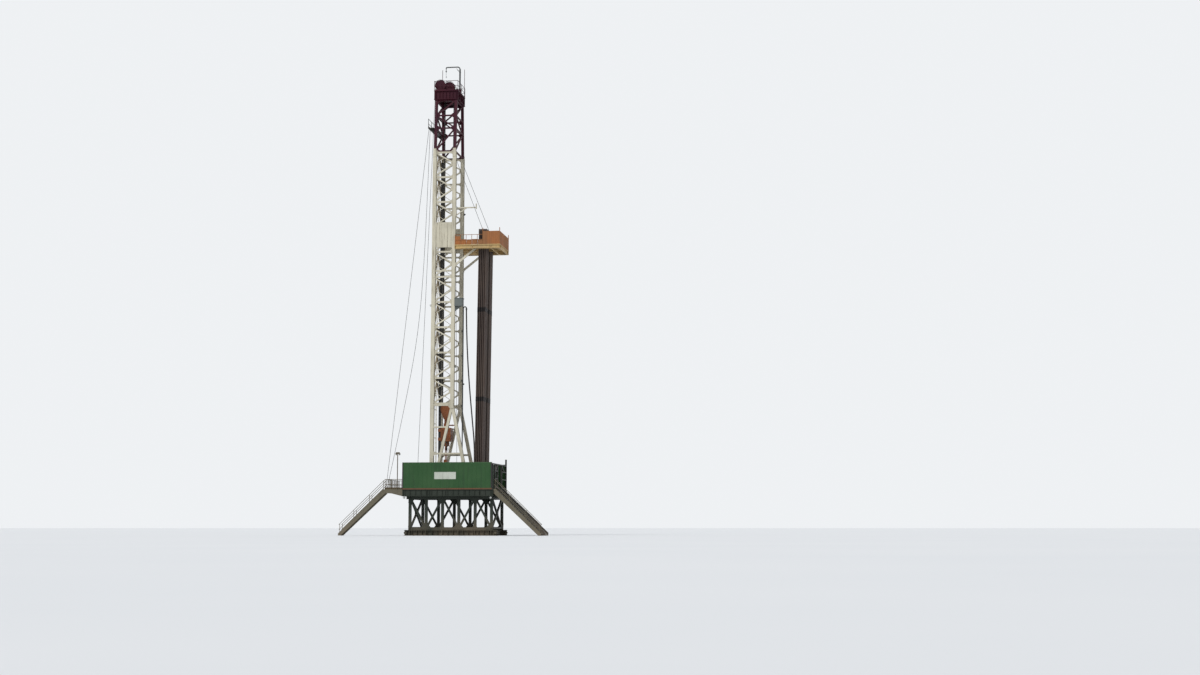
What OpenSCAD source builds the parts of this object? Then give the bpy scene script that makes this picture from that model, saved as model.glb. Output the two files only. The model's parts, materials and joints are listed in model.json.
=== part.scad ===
// Land drilling rig with a cantilever lattice mast, a scale model at 1:2.
// Lengths are model millimetres. X runs to the ramp side, Z is up, the well axis is at the origin.

/* [Drill floor] */
// Height of the drill floor above the ground
floor_h = 2500; // [2200:10:3000]
// Distance from the well to the ramp edge of the floor
floor_front = 3050; // [2900:10:3400]
// Distance from the well to the rear edge of the floor
floor_rear = 1950; // [1900:10:2200]
// Width of the floor across the rig
floor_w = 4000; // [3800:10:4400]
// Thickness of the deck plate
deck_t = 30; // [20:1:50]
// Depth of the floor beams
floor_beam_h = 360; // [300:5:420]
// Side of the square opening round the rotary table
table_hole = 720; // [640:5:760]
// Radius of the rotary opening
rotary_r = 175; // [120:1:200]
// Length of the rear platform
porch_l = 1100; // [900:10:1300]
// Width of the rear platform
porch_w = 3000; // [2600:10:3400]

/* [Substructure] */
// Distance between the two side frames
frame_gap = 2900; // [2700:10:3100]
// Thickness of a side frame
frame_t = 130; // [100:5:160]
// Width of a side frame's bars
frame_bar = 150; // [110:5:180]
// Number of bays in a side frame
frame_bays = 5; // [4:1:6]
// Height of a base skid
skid_h = 300; // [250:5:340]
// Width of a base skid
skid_w = 280; // [240:5:320]
// Thickness of the skid and beam flanges
flange_t = 24; // [18:1:30]

/* [Mast] */
// Height of the cream mast above the floor
mast_h = 18740; // [18200:10:19200]
// Distance across the mast between leg centres
mast_w = 2050; // [1950:10:2150]
// Depth of the mast between leg centres
mast_d = 1110; // [1050:10:1200]
// Width of a mast leg's flanges
leg_w = 200; // [170:2:220]
// Thickness of a mast leg's flanges and web
leg_t = 18; // [14:1:24]
// Height of the A-shaped base above the floor
base_h = 4640; // [4400:10:4900]
// Distance from the well to the foot of a front leg
foot_front = 1520; // [1400:10:1650]
// Number of lattice bays above the base
mast_bays = 10; // [8:1:12]
// Girt with a second girt above it, where the mast's sections join
splice_i = 5; // [4:1:6]
// Distance between those two girts
splice_gap = 340; // [300:10:400]
// Width of the mast girts
girt_w = 92; // [70:2:120]
// Width of the mast braces
brace_w = 70; // [50:2:90]
// Thickness of the lattice bars
lattice_t = 80; // [60:2:100]
// Thickness of a mast shoe
shoe_t = 60; // [40:2:90]

/* [Crown] */
// Height of the tapered crown section
crown_h = 3020; // [2800:10:3200]
// Distance across the top of the crown section
crown_w = 1600; // [1500:10:1700]
// Width of a crown leg
crown_leg = 150; // [120:2:170]
// Depth of the water table beams
table_h = 520; // [440:10:600]
// How far the water table stands out past the crown legs
table_out = 60; // [40:5:100]
// Radius of the crown sheaves
sheave_r = 300; // [260:5:320]
// Thickness of a sheave
sheave_t = 52; // [40:2:60]
// Number of sheaves in the crown cluster
sheave_n = 5; // [5:1:6]
// Distance between neighbouring sheaves
sheave_pitch = 90; // [80:2:110]
// Height of the davit post above the water table
davit_h = 1560; // [1400:10:1700]
// Reach of the davit arm
davit_reach = 800; // [600:10:900]
// Radius of the davit post
davit_r = 48; // [36:1:60]

/* [Racking board] */
// Height of the board deck above the floor
board_h = 13430; // [13000:10:13700]
// Distance from the well to the outer end of the board
board_end = 3200; // [3050:10:3300]
// Width of the board
board_w = 2600; // [2400:10:2800]
// Depth of the board beams
board_beam = 220; // [160:5:260]
// Width of the centre walkway of the board
plank_w = 260; // [200:10:300]
// Number of fingers on each side
finger_n = 12; // [8:1:12]
// Width of one finger
finger_w = 26; // [20:1:30]
// Height of the board rails
board_rail = 560; // [480:10:620]
// Height of the board wind boards
board_wall = 700; // [600:10:760]
// Height above the floor of the closed panels on the mast sides
panel_z = 13330; // [13200:10:13450]
// Height of those panels
panel_h = 1410; // [1200:10:1500]
// Thickness of those panels
panel_t = 26; // [20:1:34]
// Height above the floor of the boom over the board
boom_h = 15540; // [15300:10:15700]
// Length of the boom
boom_l = 1170; // [1000:10:1300]
// Height above the floor of the service box
box_h = 10040; // [9900:10:10200]
// Length of the service box
box_l = 440; // [360:10:520]

/* [Racked pipe] */
// Diameter of the drill pipe
pipe_d = 64; // [54:1:66]
// Diameter of the pipe's tool joints
joint_d = 80; // [70:1:84]
// Distance between neighbouring pipes
pipe_pitch = 97; // [92:1:100]
// Pipes along the rig in one bank
pipe_rows = 5; // [3:1:6]
// Pipes across the rig in one bank
pipe_cols = 8; // [5:1:9]
// Length of a stand of pipe
pipe_l = 14300; // [14000:10:14600]
// Outward lean of the stands at the board
pipe_lean = 150; // [100:5:180]

/* [Hoist] */
// Height of the top drive's lower end above the floor
hoist_low = 1500; // [1200:10:1800]
// Lift of the travelling block
hoist_lift = 14500; // [12000:100:14600]
// Radius of the block sheaves
block_r = 260; // [220:5:280]
// Thickness of the travelling block
block_t = 460; // [420:5:500]
// Width of the top drive body
drive_w = 620; // [520:10:700]
// Height of the top drive body
drive_h = 1250; // [1100:10:1400]
// Length of the elevator links
link_l = 900; // [800:10:1000]
// Radius of a drilling line
line_r = 10; // [8:1:14]
// Width of the torque track
track_w = 130; // [110:5:160]
// Gap between the moving drive and what it runs past
run_gap = 6; // [5:0.5:10]
// Radius of the rotary hose
hose_r = 36; // [30:1:40]

/* [Stairs and walls] */
// Horizontal run of the stairs and the ramp
stair_run = 2600; // [2400:10:2900]
// Width of a stair
stair_w = 480; // [400:10:560]
// Number of risers in a stair
riser_n = 22; // [18:1:24]
// Depth of a tread
tread_d = 125; // [100:5:140]
// Thickness of a tread
tread_t = 22; // [16:1:30]
// Thickness of the stair stringers
stringer_t = 24; // [18:1:30]
// Depth of the stair stringers
stringer_h = 150; // [120:5:180]
// Width of the ramp
ramp_w = 1000; // [900:10:1200]
// Height of the wind walls
wall_h = 1400; // [1200:10:1600]
// Thickness of the wind walls
wall_t = 40; // [30:1:60]
// Height of the handrails
rail_h = 550; // [480:10:620]
// Radius of the rail tubes
rail_r = 14; // [10:1:18]
// Height of the lamp pole
lamp_h = 1950; // [1600:10:2200]
// Clearance where two pieces are seated
seat = 0.3; // [0.2:0.05:0.5]

/* [Hidden] */

cream = "#c8c3af";
burgundy = "#4a1c2a";
green = "#34593a";
dark_green = "#1f3022";
orange = "#b8692f";
steel = "#55524f";
dark = "#2b2a28";
tan = "#7d7350";

floor_z = floor_h;
beam_z = floor_z - deck_t - floor_beam_h;
frame_y = frame_gap / 2;
frame_x0 = -floor_rear + 250;
frame_x1 = floor_front - 100;
bay_l = (frame_x1 - frame_x0 - frame_bar) / frame_bays;
porch_x = -floor_rear - porch_l;
foot_x = floor_front + stair_run;

leg_y = mast_w / 2;
leg_x = mast_d / 2;
mast_z0 = floor_z + base_h;
mast_z1 = floor_z + mast_h;
mast_bay = (mast_h - base_h) / mast_bays;
crown_z1 = mast_z1 + crown_h;
crown_y = crown_w / 2;
lean = atan2(leg_y - crown_y, crown_h);
crown_len = crown_h / cos(lean);
table_z1 = crown_z1 + table_h;
platform_h = crown_h * 0.44;
shaft_z = table_z1 + sheave_r + 60;
cluster_y = (sheave_n - 1) / 2 * sheave_pitch;
groove = 34;
line_gap = line_r + seat;
fast_x = -sheave_r - 150;
fast_y = -cluster_y - 230;
fast_z = shaft_z + 60;
table_x = leg_x + crown_leg / 2 + table_out;
davit_x = table_x - 110;
davit_foot = 40;

board_z = floor_z + board_h;
board_x0 = leg_x + leg_w / 2 + seat;
walk_w = 330;
end_x = board_end - 560;
finger_x0 = board_x0 + 770;
loaded_slot = 5.5;
mat_t = 50;
bank_x = finger_x0 + pipe_pitch * loaded_slot - pipe_lean;
bank_y0 = plank_w / 2 + 45;
bank_y1 = bank_y0 + pipe_cols * pipe_pitch;
setback_x0 = bank_x - 120;
setback_x1 = bank_x + pipe_rows * pipe_pitch + 60;
front_stair_y = -floor_w / 2 + stair_w / 2 + 160;
rear_stair_y = -porch_w / 2 + stair_w / 2 + 110;
drum_x = -(floor_rear - 90 + leg_x + leg_w / 2 + 180) / 2;
drum_r = 210;
drum_h = 520;

block_z = floor_z + hoist_low + link_l + drive_h;
sheave_z = block_z + 780;
cheek_r = block_r + 30;
track_x = -(cheek_r + 10 + run_gap + track_w / 2);
ladder_y = 450;

// The hose hangs from the gooseneck, swings low over the floor and rises to the top drive.
// Its heights count from the floor.
hose_route = [[900, 800, 10060], [900, 800, 9960], [906, 793, 9700], [930, 765, 9000],
    [985, 690, 8000], [1075, 560, 6900], [1190, 410, 5800], [1320, 270, 4700], [1440, 160, 3700],
    [1530, 90, 2900], [1578, 45, 2250], [1590, 20, 1850], [1590, 5, 1550], [1577, 0, 1410],
    [1539, -4, 1293], [1475, -8, 1197], [1391, -11, 1134], [1299, -13, 1105], [1202, -14, 1105],
    [1110, -15, 1134], [1026, -15, 1197], [962, -14, 1293], [918, -12, 1430], [885, -10, 1650],
    [820, -5, 2150], [735, 0, 2620], [665, 0, 2960], [618, 0, 3200], [600, 0, 3366], [600, 0, 3466]];
hose_path = [for (p = hose_route) p + [0, 0, floor_z]];
hose_end = hose_path[len(hose_path) - 1];

// The slack line hangs from the crown platform to the rear platform. Each point is its distance
// along the rig and its height above the floor.
slack_top = mast_h + platform_h - seat;
slack_route = [[-930, slack_top], [-930, slack_top - 100], [-965, 18400], [-1010, 16500], [-1065, 14500], [-1137, 12500],
    [-1246, 10500], [-1372, 9000], [-1514, 7800], [-1679, 6700], [-1868, 5600], [-2069, 4500],
    [-2278, 3400], [-2493, 2300], [-2709, 1200], [-2870, 400],
    [-2930, 100], [-2930, seat]];
slack_path = [for (p = slack_route) let (u = min(1, max(0, (p.y - 100) / (slack_top - 200))))
    [p.x, -1380 + 620 * u, floor_z + p.y]];

// A bar in a flat drawing from point a to point b
module bar(a, b, w) {
    d = b - a;
    translate(a) rotate(atan2(d.y, d.x)) translate([0, -w / 2]) square([norm(d), w]);
}

// Turns a flat drawing in x and z into a plate about the plane y0
module plate_y(y0, t) {
    translate([0, y0 + t / 2, 0]) rotate([90, 0, 0]) linear_extrude(t) children();
}

// Turns a flat drawing in y and z into a plate about the plane x0
module plate_x(x0, t) {
    translate([x0 - t / 2, 0, 0]) rotate([90, 0, 90]) linear_extrude(t) children();
}

// A round bar between two points in space
module rod(a, b, r, sides = 8) {
    d = b - a;
    translate(a) rotate([0, acos(d.z / norm(d)), atan2(d.y, d.x)])
        cylinder(r = r, h = norm(d), $fn = sides);
}

// A box from its lowest to its highest corner
module block(a, b) {
    translate(a) cube(b - a);
}

// A wide-flange section, w across the flanges and h deep, with the flanges parallel to x
module wide_flange(w, h, tf, tw) {
    for (s = [-1, 1]) translate([-w / 2, s * (h - tf) / 2 - tf / 2]) square([w, tf]);
    translate([-tw / 2, -h / 2 + tf / 2]) square([tw, h - tf]);
}

// A wide-flange beam along x, its top at z
module beam_along_x(x0, x1, y, z, w, h, tf) {
    translate([x0, y, z - h / 2]) rotate([90, 0, 90]) linear_extrude(x1 - x0)
        wide_flange(w, h, tf, tf * 0.7);
}

// A wide-flange beam along y, its top at z
module beam_along_y(y0, y1, x, z, w, h, tf) {
    translate([x, y1, z - h / 2]) rotate([90, 0, 0]) linear_extrude(y1 - y0)
        wide_flange(w, h, tf, tf * 0.7);
}

// Base skid on the ground, with a tow pipe across each end
module base_skid(s) {
    x0 = frame_x0 - 220;
    x1 = frame_x1 + 220;
    color(dark_green) union() {
        beam_along_x(x0, x1, s * frame_y, skid_h, skid_w, skid_h, flange_t);
        for (i = [0 : frame_bays]) let (x = frame_x0 + frame_bar / 2 + i * bay_l)
            block([x - flange_t / 2, s * frame_y - skid_w / 2, flange_t / 2],
                [x + flange_t / 2, s * frame_y + skid_w / 2, skid_h - flange_t / 2]);
        for (x = [x0 + 60, x1 - 60])
            translate([x, s * frame_y + skid_w / 2, skid_h / 2]) rotate([90, 0, 0])
                cylinder(r = 55, h = skid_w, $fn = 24);
    }
}

// Cross members on the ground between the two skids
module base_spreaders() {
    y1 = frame_y - skid_w / 2 - seat;
    color(dark_green) for (x = [frame_x0 + 120, frame_x0 + bay_l, frame_x1 - 120])
        beam_along_y(-y1, y1, x, skid_h - 40, 160, 200, flange_t * 0.7);
}

// Lattice side frame between the skid and the floor beams
module side_frame(s) {
    z0 = skid_h + seat;
    z1 = beam_z - seat;
    hb = frame_bar / 2;
    color(dark_green) plate_y(s * frame_y, frame_t) {
        bar([frame_x0, z0 + hb], [frame_x1, z0 + hb], frame_bar);
        bar([frame_x0 - 120, z1 - hb], [frame_x1, z1 - hb], frame_bar);
        for (i = [0 : frame_bays]) let (x = frame_x0 + hb + i * bay_l)
            bar([x, z0 + hb], [x, z1 - hb], frame_bar);
        for (i = [0 : frame_bays - 1]) let (x = frame_x0 + hb + i * bay_l)
            if (i % 2 == 0) bar([x, z1 - hb], [x + bay_l, z0 + hb], frame_bar * 0.65);
            else bar([x, z0 + hb], [x + bay_l, z1 - hb], frame_bar * 0.65);
    }
}

// X-shaped bracing across both ends of the substructure
module cross_bracing() {
    y1 = frame_y - frame_t / 2 - seat;
    z0 = skid_h + 60;
    z1 = beam_z - 60;
    w = frame_bar * 0.7;
    color(dark_green) for (x = [frame_x0 + frame_bar / 2, frame_x1 - frame_bar / 2])
        plate_x(x, frame_t * 0.7) intersection() {
            union() {
                bar([-y1 - w, z0 - w / 2], [y1 + w, z1 + w / 2], w);
                bar([-y1 - w, z1 + w / 2], [y1 + w, z0 - w / 2], w);
                bar([-y1, z0 + w / 2], [y1, z0 + w / 2], w);
                bar([-y1, z1 - w / 2], [y1, z1 - w / 2], w);
            }
            translate([-y1, z0]) square([2 * y1, z1 - z0]);
        }
}

// Grid of beams that carries the deck
module floor_frame() {
    z = floor_z - deck_t;
    edge_w = 120;
    edge_y = (floor_w - edge_w) / 2;
    color(dark_green) union() {
        for (s = [-1, 1]) {
            beam_along_x(-floor_rear, floor_front, s * edge_y, z, edge_w, floor_beam_h, flange_t);
            beam_along_x(-floor_rear, floor_front, s * frame_y, z, 200, floor_beam_h, flange_t);
        }
        for (x = [-floor_rear + edge_w / 2, -leg_x, -table_hole / 2 - 80, table_hole / 2 + 80,
            foot_front, (foot_front + floor_front) / 2, floor_front - edge_w / 2])
            beam_along_y(-floor_w / 2, floor_w / 2, x, z, edge_w, floor_beam_h, flange_t);
    }
}

// Deck plate with the opening round the rotary table and the raised setback mats
module floor_deck() {
    color(dark) union() {
        difference() {
            block([-floor_rear, -floor_w / 2, floor_z - deck_t], [floor_front, floor_w / 2, floor_z]);
            translate([0, 0, floor_z - deck_t / 2]) cube([table_hole, table_hole, deck_t * 2], center = true);
        }
        for (s = [-1, 1])
            translate([(setback_x0 + setback_x1) / 2, s * (bank_y0 + bank_y1) / 2, floor_z + mat_t / 2])
                cube([setback_x1 - setback_x0, bank_y1 - bank_y0 + 120, mat_t], center = true);
    }
}

// Rotary table, a housing on the beams with a ring round the opening
module rotary_table() {
    side = table_hole - 2 * seat;
    color(steel) difference() {
        union() {
            translate([0, 0, floor_z - 120]) cube([side, side, 240], center = true);
            translate([0, 0, floor_z]) cylinder(r = rotary_r + 110, h = 60, $fn = 64);
            translate([0, 0, floor_z - 260]) cylinder(r = rotary_r + 70, h = 60, $fn = 64);
        }
        translate([0, 0, floor_z - 300]) cylinder(r = rotary_r, h = 420, $fn = 64);
    }
}

// Drawworks behind the mast, with the drum between its side housings
module drawworks() {
    xc = drum_x;
    x0 = -floor_rear + 90;
    x1 = 2 * xc - x0;
    w = 1500;
    z = floor_z + seat;
    color(steel) union() {
        for (s = [-1, 1]) {
            beam_along_x(x0, x1, s * (w / 2 - 60), z + 140, 120, 140, 16);
            translate([xc, s * (w / 2 - 130) + 90, z + 140]) rotate([90, 0, 0]) linear_extrude(180)
                polygon([[x0 - xc, 0], [x1 - xc, 0], [x1 - xc, 560], [x1 - xc - 140, 760],
                    [x0 - xc + 140, 760], [x0 - xc, 560]]);
        }
        for (x = [x0 + 60, x1 - 60]) beam_along_y(-w / 2, w / 2, x, z + 140, 120, 140, 16);
        translate([xc, w / 2 - 40, z + drum_h]) rotate([90, 0, 0]) cylinder(r = drum_r, h = w - 80, $fn = 48);
        for (s = [-1, 1]) translate([xc, s * 330 + 20, z + drum_h]) rotate([90, 0, 0])
            cylinder(r = 330, h = 40, $fn = 48);
        for (s = [-1, 1]) translate([xc, s * (w / 2 - 80), z + drum_h]) rotate([-s * 90, 0, 0])
            cylinder(r = 260, h = 200, $fn = 48);
    }
}

// Long wind wall beside the floor, with posts on its inner face
module side_wall(s) {
    y = s * (floor_w / 2 - wall_t / 2);
    color(green) union() {
        block([-floor_rear, y - wall_t / 2, floor_z + seat], [floor_front - 60, y + wall_t / 2, floor_z + wall_h]);
        for (i = [0 : 5]) let (x = -floor_rear + 40 + i * (floor_front + floor_rear - 190) / 5)
            block([x - 30, min(y, y - s * (wall_t / 2 + 60)), floor_z + seat],
                [x + 30, max(y, y - s * (wall_t / 2 + 60)), floor_z + wall_h - 20]);
    }
}

// Rear wind wall, open at the doorway to the rear platform
module wind_wall_rear() {
    y1 = floor_w / 2 - wall_t - 90;
    door = stair_w / 2 + 60;
    color(green) for (s = [-1, 1])
        block([-floor_rear, s > 0 ? rear_stair_y + door : -y1, floor_z + seat],
            [-floor_rear + wall_t, s > 0 ? y1 : rear_stair_y - door, floor_z + wall_h]);
}

// Open frame at the ramp end of the floor with the V-door in the middle
module v_door_frame() {
    y1 = floor_w / 2 - wall_t - 10;
    z1 = floor_z + wall_h - 20;
    foot = floor_z + seat;
    post = 90;
    door = ramp_w / 2 + 60;
    panel = -front_stair_y - stair_w / 2 - 60;
    color(dark) plate_x(floor_front - 50, 80) {
        for (s = [-1, 1]) {
            bar([s * (y1 - post / 2), foot], [s * (y1 - post / 2), z1 + (s > 0 ? 330 : 0)], post);
            bar([s * door, foot], [s * door, z1], post);
            bar([s * door, z1 - 60], [s * panel, z1 - 420], 50);
        }
        bar([-panel, foot], [-panel, z1], 60);
        for (h = [90, wall_h * 0.4, wall_h * 0.7]) {
            bar([-door, floor_z + h], [-panel, floor_z + h], 50);
            bar([door, floor_z + h], [y1, floor_z + h], 50);
        }
        bar([-y1, z1 - 30], [y1, z1 - 30], 60);
    }
}

// Inclined ramp from the ground to the V-door
module v_door_ramp() {
    x0 = floor_front + seat;
    color(dark) union() {
        plate_y(0, ramp_w) polygon([[x0, floor_z], [foot_x, 40], [foot_x, 0], [foot_x - 90, 0],
            [x0, floor_z - 120]]);
        for (s = [-1, 1]) plate_y(s * (ramp_w / 2 + 30), 60)
            polygon([[x0, floor_z + 110], [foot_x, 150], [foot_x, 0], [foot_x - 160, 0], [x0, floor_z - 220]]);
    }
}

// Height of the stair's nosing line above the ground at the horizontal distance u from its top
function stair_z(u) = floor_z * (1 - u / stair_run);

// Stringers and rails of a stair. It goes down along dir from x0, centred on y0.
module stair_sides(x0, dir, y0) {
    step = stair_run / riser_n;
    color(tan) for (s = [-1, 1]) union() {
        plate_y(y0 + s * (stair_w / 2 + stringer_t / 2), stringer_t) polygon([
            [x0 + dir * seat, floor_z], [x0 + dir * step, floor_z],
            [x0 + dir * stair_run, stair_z(stair_run - step)], [x0 + dir * stair_run, 0],
            [x0 + dir * (stair_run - stringer_h), 0], [x0 + dir * seat, floor_z - stringer_h * 1.5]]);
        let (y = y0 + s * (stair_w / 2 + rail_r)) {
            for (u = [90, stair_run / 3, stair_run * 2 / 3, stair_run - 90])
                rod([x0 + dir * u, y, stair_z(u) - 20], [x0 + dir * u, y, stair_z(u) + rail_h], rail_r);
            for (k = [0.5, 1]) rod([x0 + dir * 40, y, stair_z(40) + rail_h * k],
                [x0 + dir * (stair_run - 40), y, stair_z(stair_run - 40) + rail_h * k], rail_r);
        }
    }
}

// Treads of a stair, one solid each
module stair_treads(x0, dir, y0) {
    step = stair_run / riser_n;
    color(dark) for (i = [1 : riser_n - 1])
        translate([x0 + dir * (i * step + tread_d / 2 - 10), y0, floor_z * (1 - i / riser_n) - tread_t / 2])
            cube([tread_d, stair_w - 2 * seat, tread_t], center = true);
}

// Rear platform outside the rear wall, on brackets from the floor frame
module rear_platform() {
    x1 = -floor_rear - seat;
    color(tan) union() {
        block([porch_x, -porch_w / 2, floor_z - deck_t], [x1, porch_w / 2, floor_z]);
        for (s = [-1, 1]) {
            block([porch_x, s * (porch_w / 2 - 30) - 30, floor_z - 200], [x1, s * (porch_w / 2 - 30) + 30, floor_z - deck_t]);
            plate_y(s * (porch_w / 2 - 30), 60)
                polygon([[x1, floor_z - 180], [x1, floor_z - deck_t - floor_beam_h], [x1 - 60, floor_z - deck_t - floor_beam_h],
                    [porch_x + 200, floor_z - 180]]);
        }
        block([porch_x, -porch_w / 2, floor_z - 200], [porch_x + 60, porch_w / 2, floor_z - deck_t]);
    }
}

// A run of handrail between two points at deck level
module rail_run(a, b, posts, h = rail_h) {
    for (i = [0 : posts]) let (p = a + (b - a) * i / posts) rod(p, p + [0, 0, h], rail_r);
    for (k = [0.5, 1]) rod(a + [0, 0, h * k - rail_r], b + [0, 0, h * k - rail_r], rail_r);
}

// Rails round the rear platform and the lamp pole at its corner
module handrails() {
    y1 = porch_w / 2 - rail_r;
    z = floor_z + seat;
    gate_y = rear_stair_y + stair_w / 2 + 40;
    color(tan) union() {
        for (s = [-1, 1]) rail_run([porch_x + rail_r, s * y1, z], [-floor_rear - 40, s * y1, z], 3);
        rail_run([porch_x + rail_r, gate_y, z], [porch_x + rail_r, y1, z], 5);
        rod([porch_x + 700, -y1, z], [porch_x + 700, -y1, z + lamp_h], 24, 12);
        block([porch_x + 600, -y1 - 14, z + lamp_h - 20], [porch_x + 800, -y1 + 90, z + lamp_h + 60]);
    }
}

// Height of girt i of the mast, counted from the base
function girt_z(i) = mast_z0 + girt_w / 2 + i * (mast_bay - girt_w / mast_bays);

// One mast leg's section, its flanges parallel to x
module leg_section() {
    wide_flange(leg_w, leg_w, leg_t, leg_t);
}

// A-shaped base of one mast side, from the shoes to the lowest girt
module mast_base(s) {
    y = s * leg_y;
    z0 = floor_z + shoe_t;
    gap = seat;
    top = mast_z0 - gap;
    box_w = 170;
    color(cream) union() {
        translate([-leg_x, y, z0]) linear_extrude(top - z0) leg_section();
        plate_y(y, leg_w - 2 * leg_t) {
            bar([leg_x, top], [leg_x, top - 260], leg_w);
            intersection() {
                union() {
                    bar([leg_x, top - 60], [foot_front, z0 - 100], box_w);
                    bar([leg_x, top - 60], [-leg_x + 60, z0 - 60], box_w * 0.8);
                }
                translate([-leg_x, z0]) square([foot_front + leg_x + 200, top - z0]);
            }
            bar([-leg_x, top - girt_w / 2], [leg_x, top - girt_w / 2], girt_w);
            bar([-leg_x, z0 + 1880], [foot_front * 0.72, z0 + 1880], girt_w);
            bar([-leg_x, top - 1250], [leg_x - 250, top - 1250], girt_w * 0.8);
        }
        for (x = [-leg_x, foot_front - 30])
            block([x - 190, y - 170, floor_z + seat], [x + 190, y + 170, z0 + 10]);
    }
}

// Lattice bars of one mast side above the base
module side_bars() {
    for (i = [0 : mast_bays]) bar([-leg_x, girt_z(i)], [leg_x, girt_z(i)], girt_w);
    bar([-leg_x, girt_z(splice_i) + splice_gap], [leg_x, girt_z(splice_i) + splice_gap], girt_w);
    for (i = [0 : mast_bays - 1]) let (z = mast_z0 + i * mast_bay) {
        bar([-leg_x, z + girt_w / 2], [leg_x, z + mast_bay * 0.52], brace_w);
        bar([leg_x, z + mast_bay * 0.52], [-leg_x, z + mast_bay - girt_w / 2], brace_w);
    }
}

// One lattice side of the mast with its two legs
module mast_side(s) {
    color(cream) union() {
        for (x = [-leg_x, leg_x]) translate([x, s * leg_y, mast_z0])
            linear_extrude(mast_z1 - mast_z0) leg_section();
        plate_y(s * leg_y, lattice_t) side_bars();
    }
}

// Lattice rear face of the mast between the rear legs
module mast_rear() {
    y1 = leg_y - leg_w / 2 - seat;
    color(cream) plate_x(-leg_x, lattice_t) intersection() {
        union() {
            for (i = [0 : mast_bays]) bar([-y1, girt_z(i)], [y1, girt_z(i)], girt_w);
            for (i = [0 : mast_bays - 1]) let (z = mast_z0 + i * mast_bay) {
                bar([-y1, z], [0, z + mast_bay], brace_w);
                bar([y1, z], [0, z + mast_bay], brace_w);
            }
        }
        translate([-y1, mast_z0]) square([2 * y1, mast_z1 - mast_z0]);
    }
}

// Track that guides the top drive, hung inside the rear face on brackets
module torque_track() {
    z0 = floor_z + 1100;
    z1 = mast_z1 - 400;
    color(dark) union() {
        block([track_x - track_w / 2, -track_w / 2, z0], [track_x + track_w / 2, track_w / 2, z1]);
        for (i = [1 : mast_bays - 1])
            block([-leg_x + lattice_t / 2 + seat, -45, girt_z(i) - 40], [track_x, 45, girt_z(i) + 40]);
    }
}

// Ladder up the rear face, outside, with hoops round the climber
module ladder() {
    x = -leg_x - lattice_t / 2 - 90;
    z0 = floor_z + seat;
    z1 = mast_z1 - 200;
    cage_z = z0 + 1300;
    hoops = 22;
    rungs = 70;
    cage_r = 205;
    color(cream) translate([x, ladder_y, 0]) union() {
        for (s = [-1, 1]) {
            block([-12, s * 115 - 10, z0], [12, s * 115 + 10, z1]);
            for (i = [0 : mast_bays]) block([0, s * 115 - 10, girt_z(i) - 20], [90 - seat, s * 115 + 10, girt_z(i) + 20]);
        }
        for (i = [1 : rungs]) let (z = z0 + i * (z1 - z0) / (rungs + 1)) rod([0, -115, z], [0, 115, z], 8, 6);
        for (i = [0 : hoops]) translate([0, 0, cage_z + i * (z1 - cage_z - 30) / hoops])
            linear_extrude(24) difference() {
                intersection() {
                    translate([-150, 0]) circle(r = cage_r, $fn = 12);
                    translate([-400, -300]) square([410, 600]);
                }
                translate([-150, 0]) circle(r = cage_r - 13, $fn = 12);
            }
        for (a = [120, 180, 240]) translate([-150 + (cage_r - 8) * cos(a), (cage_r - 8) * sin(a), cage_z])
            linear_extrude(z1 - cage_z) square([14, 14], center = true);
    }
}

// Standpipe up the far front leg, ending in a gooseneck for the hose
module standpipe() {
    x = leg_x + leg_w / 2 + 70;
    y = hose_path[0].y;
    z1 = hose_path[0].z + 100;
    bend = (hose_path[0].x - x) / 2;
    pipe_r = 32;
    color(steel) union() {
        translate([x, y, floor_z + seat]) cylinder(r = pipe_r, h = z1 - floor_z - seat, $fn = 24);
        translate([x + bend, y, z1]) rotate([90, 0, 0]) rotate_extrude(angle = 180, $fn = 48)
            translate([bend, 0]) circle(r = pipe_r, $fn = 24);
        translate([x + 2 * bend, y, z1 - 100 + seat]) cylinder(r = hose_r + 12, h = 100 - seat, $fn = 24);
        for (i = [0 : 3]) block([leg_x + leg_w / 2 - 40, y, girt_z(i) - 30],
            [x, leg_y - leg_w / 2 - seat, girt_z(i) + 30]);
    }
}

// Smooth ring frames along a route, for the hose
function tangent(p, i) = let (a = p[max(i - 1, 0)], b = p[min(i + 1, len(p) - 1)], d = b - a) d / norm(d);
function ring(c, t, r, n) = let (u = cross(t, [0, 1, 0]) / norm(cross(t, [0, 1, 0])), v = cross(t, u))
    [for (k = [0 : n - 1]) c + r * (cos(360 * k / n) * u + sin(360 * k / n) * v)];

module swept_tube(p, r, n) {
    m = len(p);
    points = [for (i = [0 : m - 1]) for (q = ring(p[i], tangent(p, i), r, n)) q];
    sides = [for (i = [0 : m - 2]) for (k = [0 : n - 1]) each [
        [i * n + k, (i + 1) * n + k, i * n + (k + 1) % n],
        [(i + 1) * n + k, (i + 1) * n + (k + 1) % n, i * n + (k + 1) % n]]];
    caps = [[for (k = [0 : n - 1]) k], [for (k = [n - 1 : -1 : 0]) (m - 1) * n + k]];
    polyhedron(points, concat(sides, caps), convexity = 4);
}

module rotary_hose() {
    color(dark) swept_tube(hose_path, hose_r, 8);
}

// Lattice panel of the crown section, h tall and w wide at its foot, w1 wide at its top
module crown_bars(w, w1, h, half = false) {
    levels = [0, 0.45, 0.7, 1];
    c = girt_w * 0.8;
    for (k = levels) let (z = c / 2 + k * (h - c), y = (w + (w1 - w) * k) / 2)
        bar([-y, z], [y, z], c);
    for (i = [0 : 2]) let (a = levels[i], b = levels[i + 1],
        ya = (w + (w1 - w) * a) / 2, yb = (w + (w1 - w) * b) / 2)
        if (i % 2 == 0) bar([-ya, c / 2 + a * (h - c)], [yb, c / 2 + b * (h - c)], brace_w);
        else bar([ya, c / 2 + a * (h - c)], [-yb, c / 2 + b * (h - c)], brace_w);
}

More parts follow.
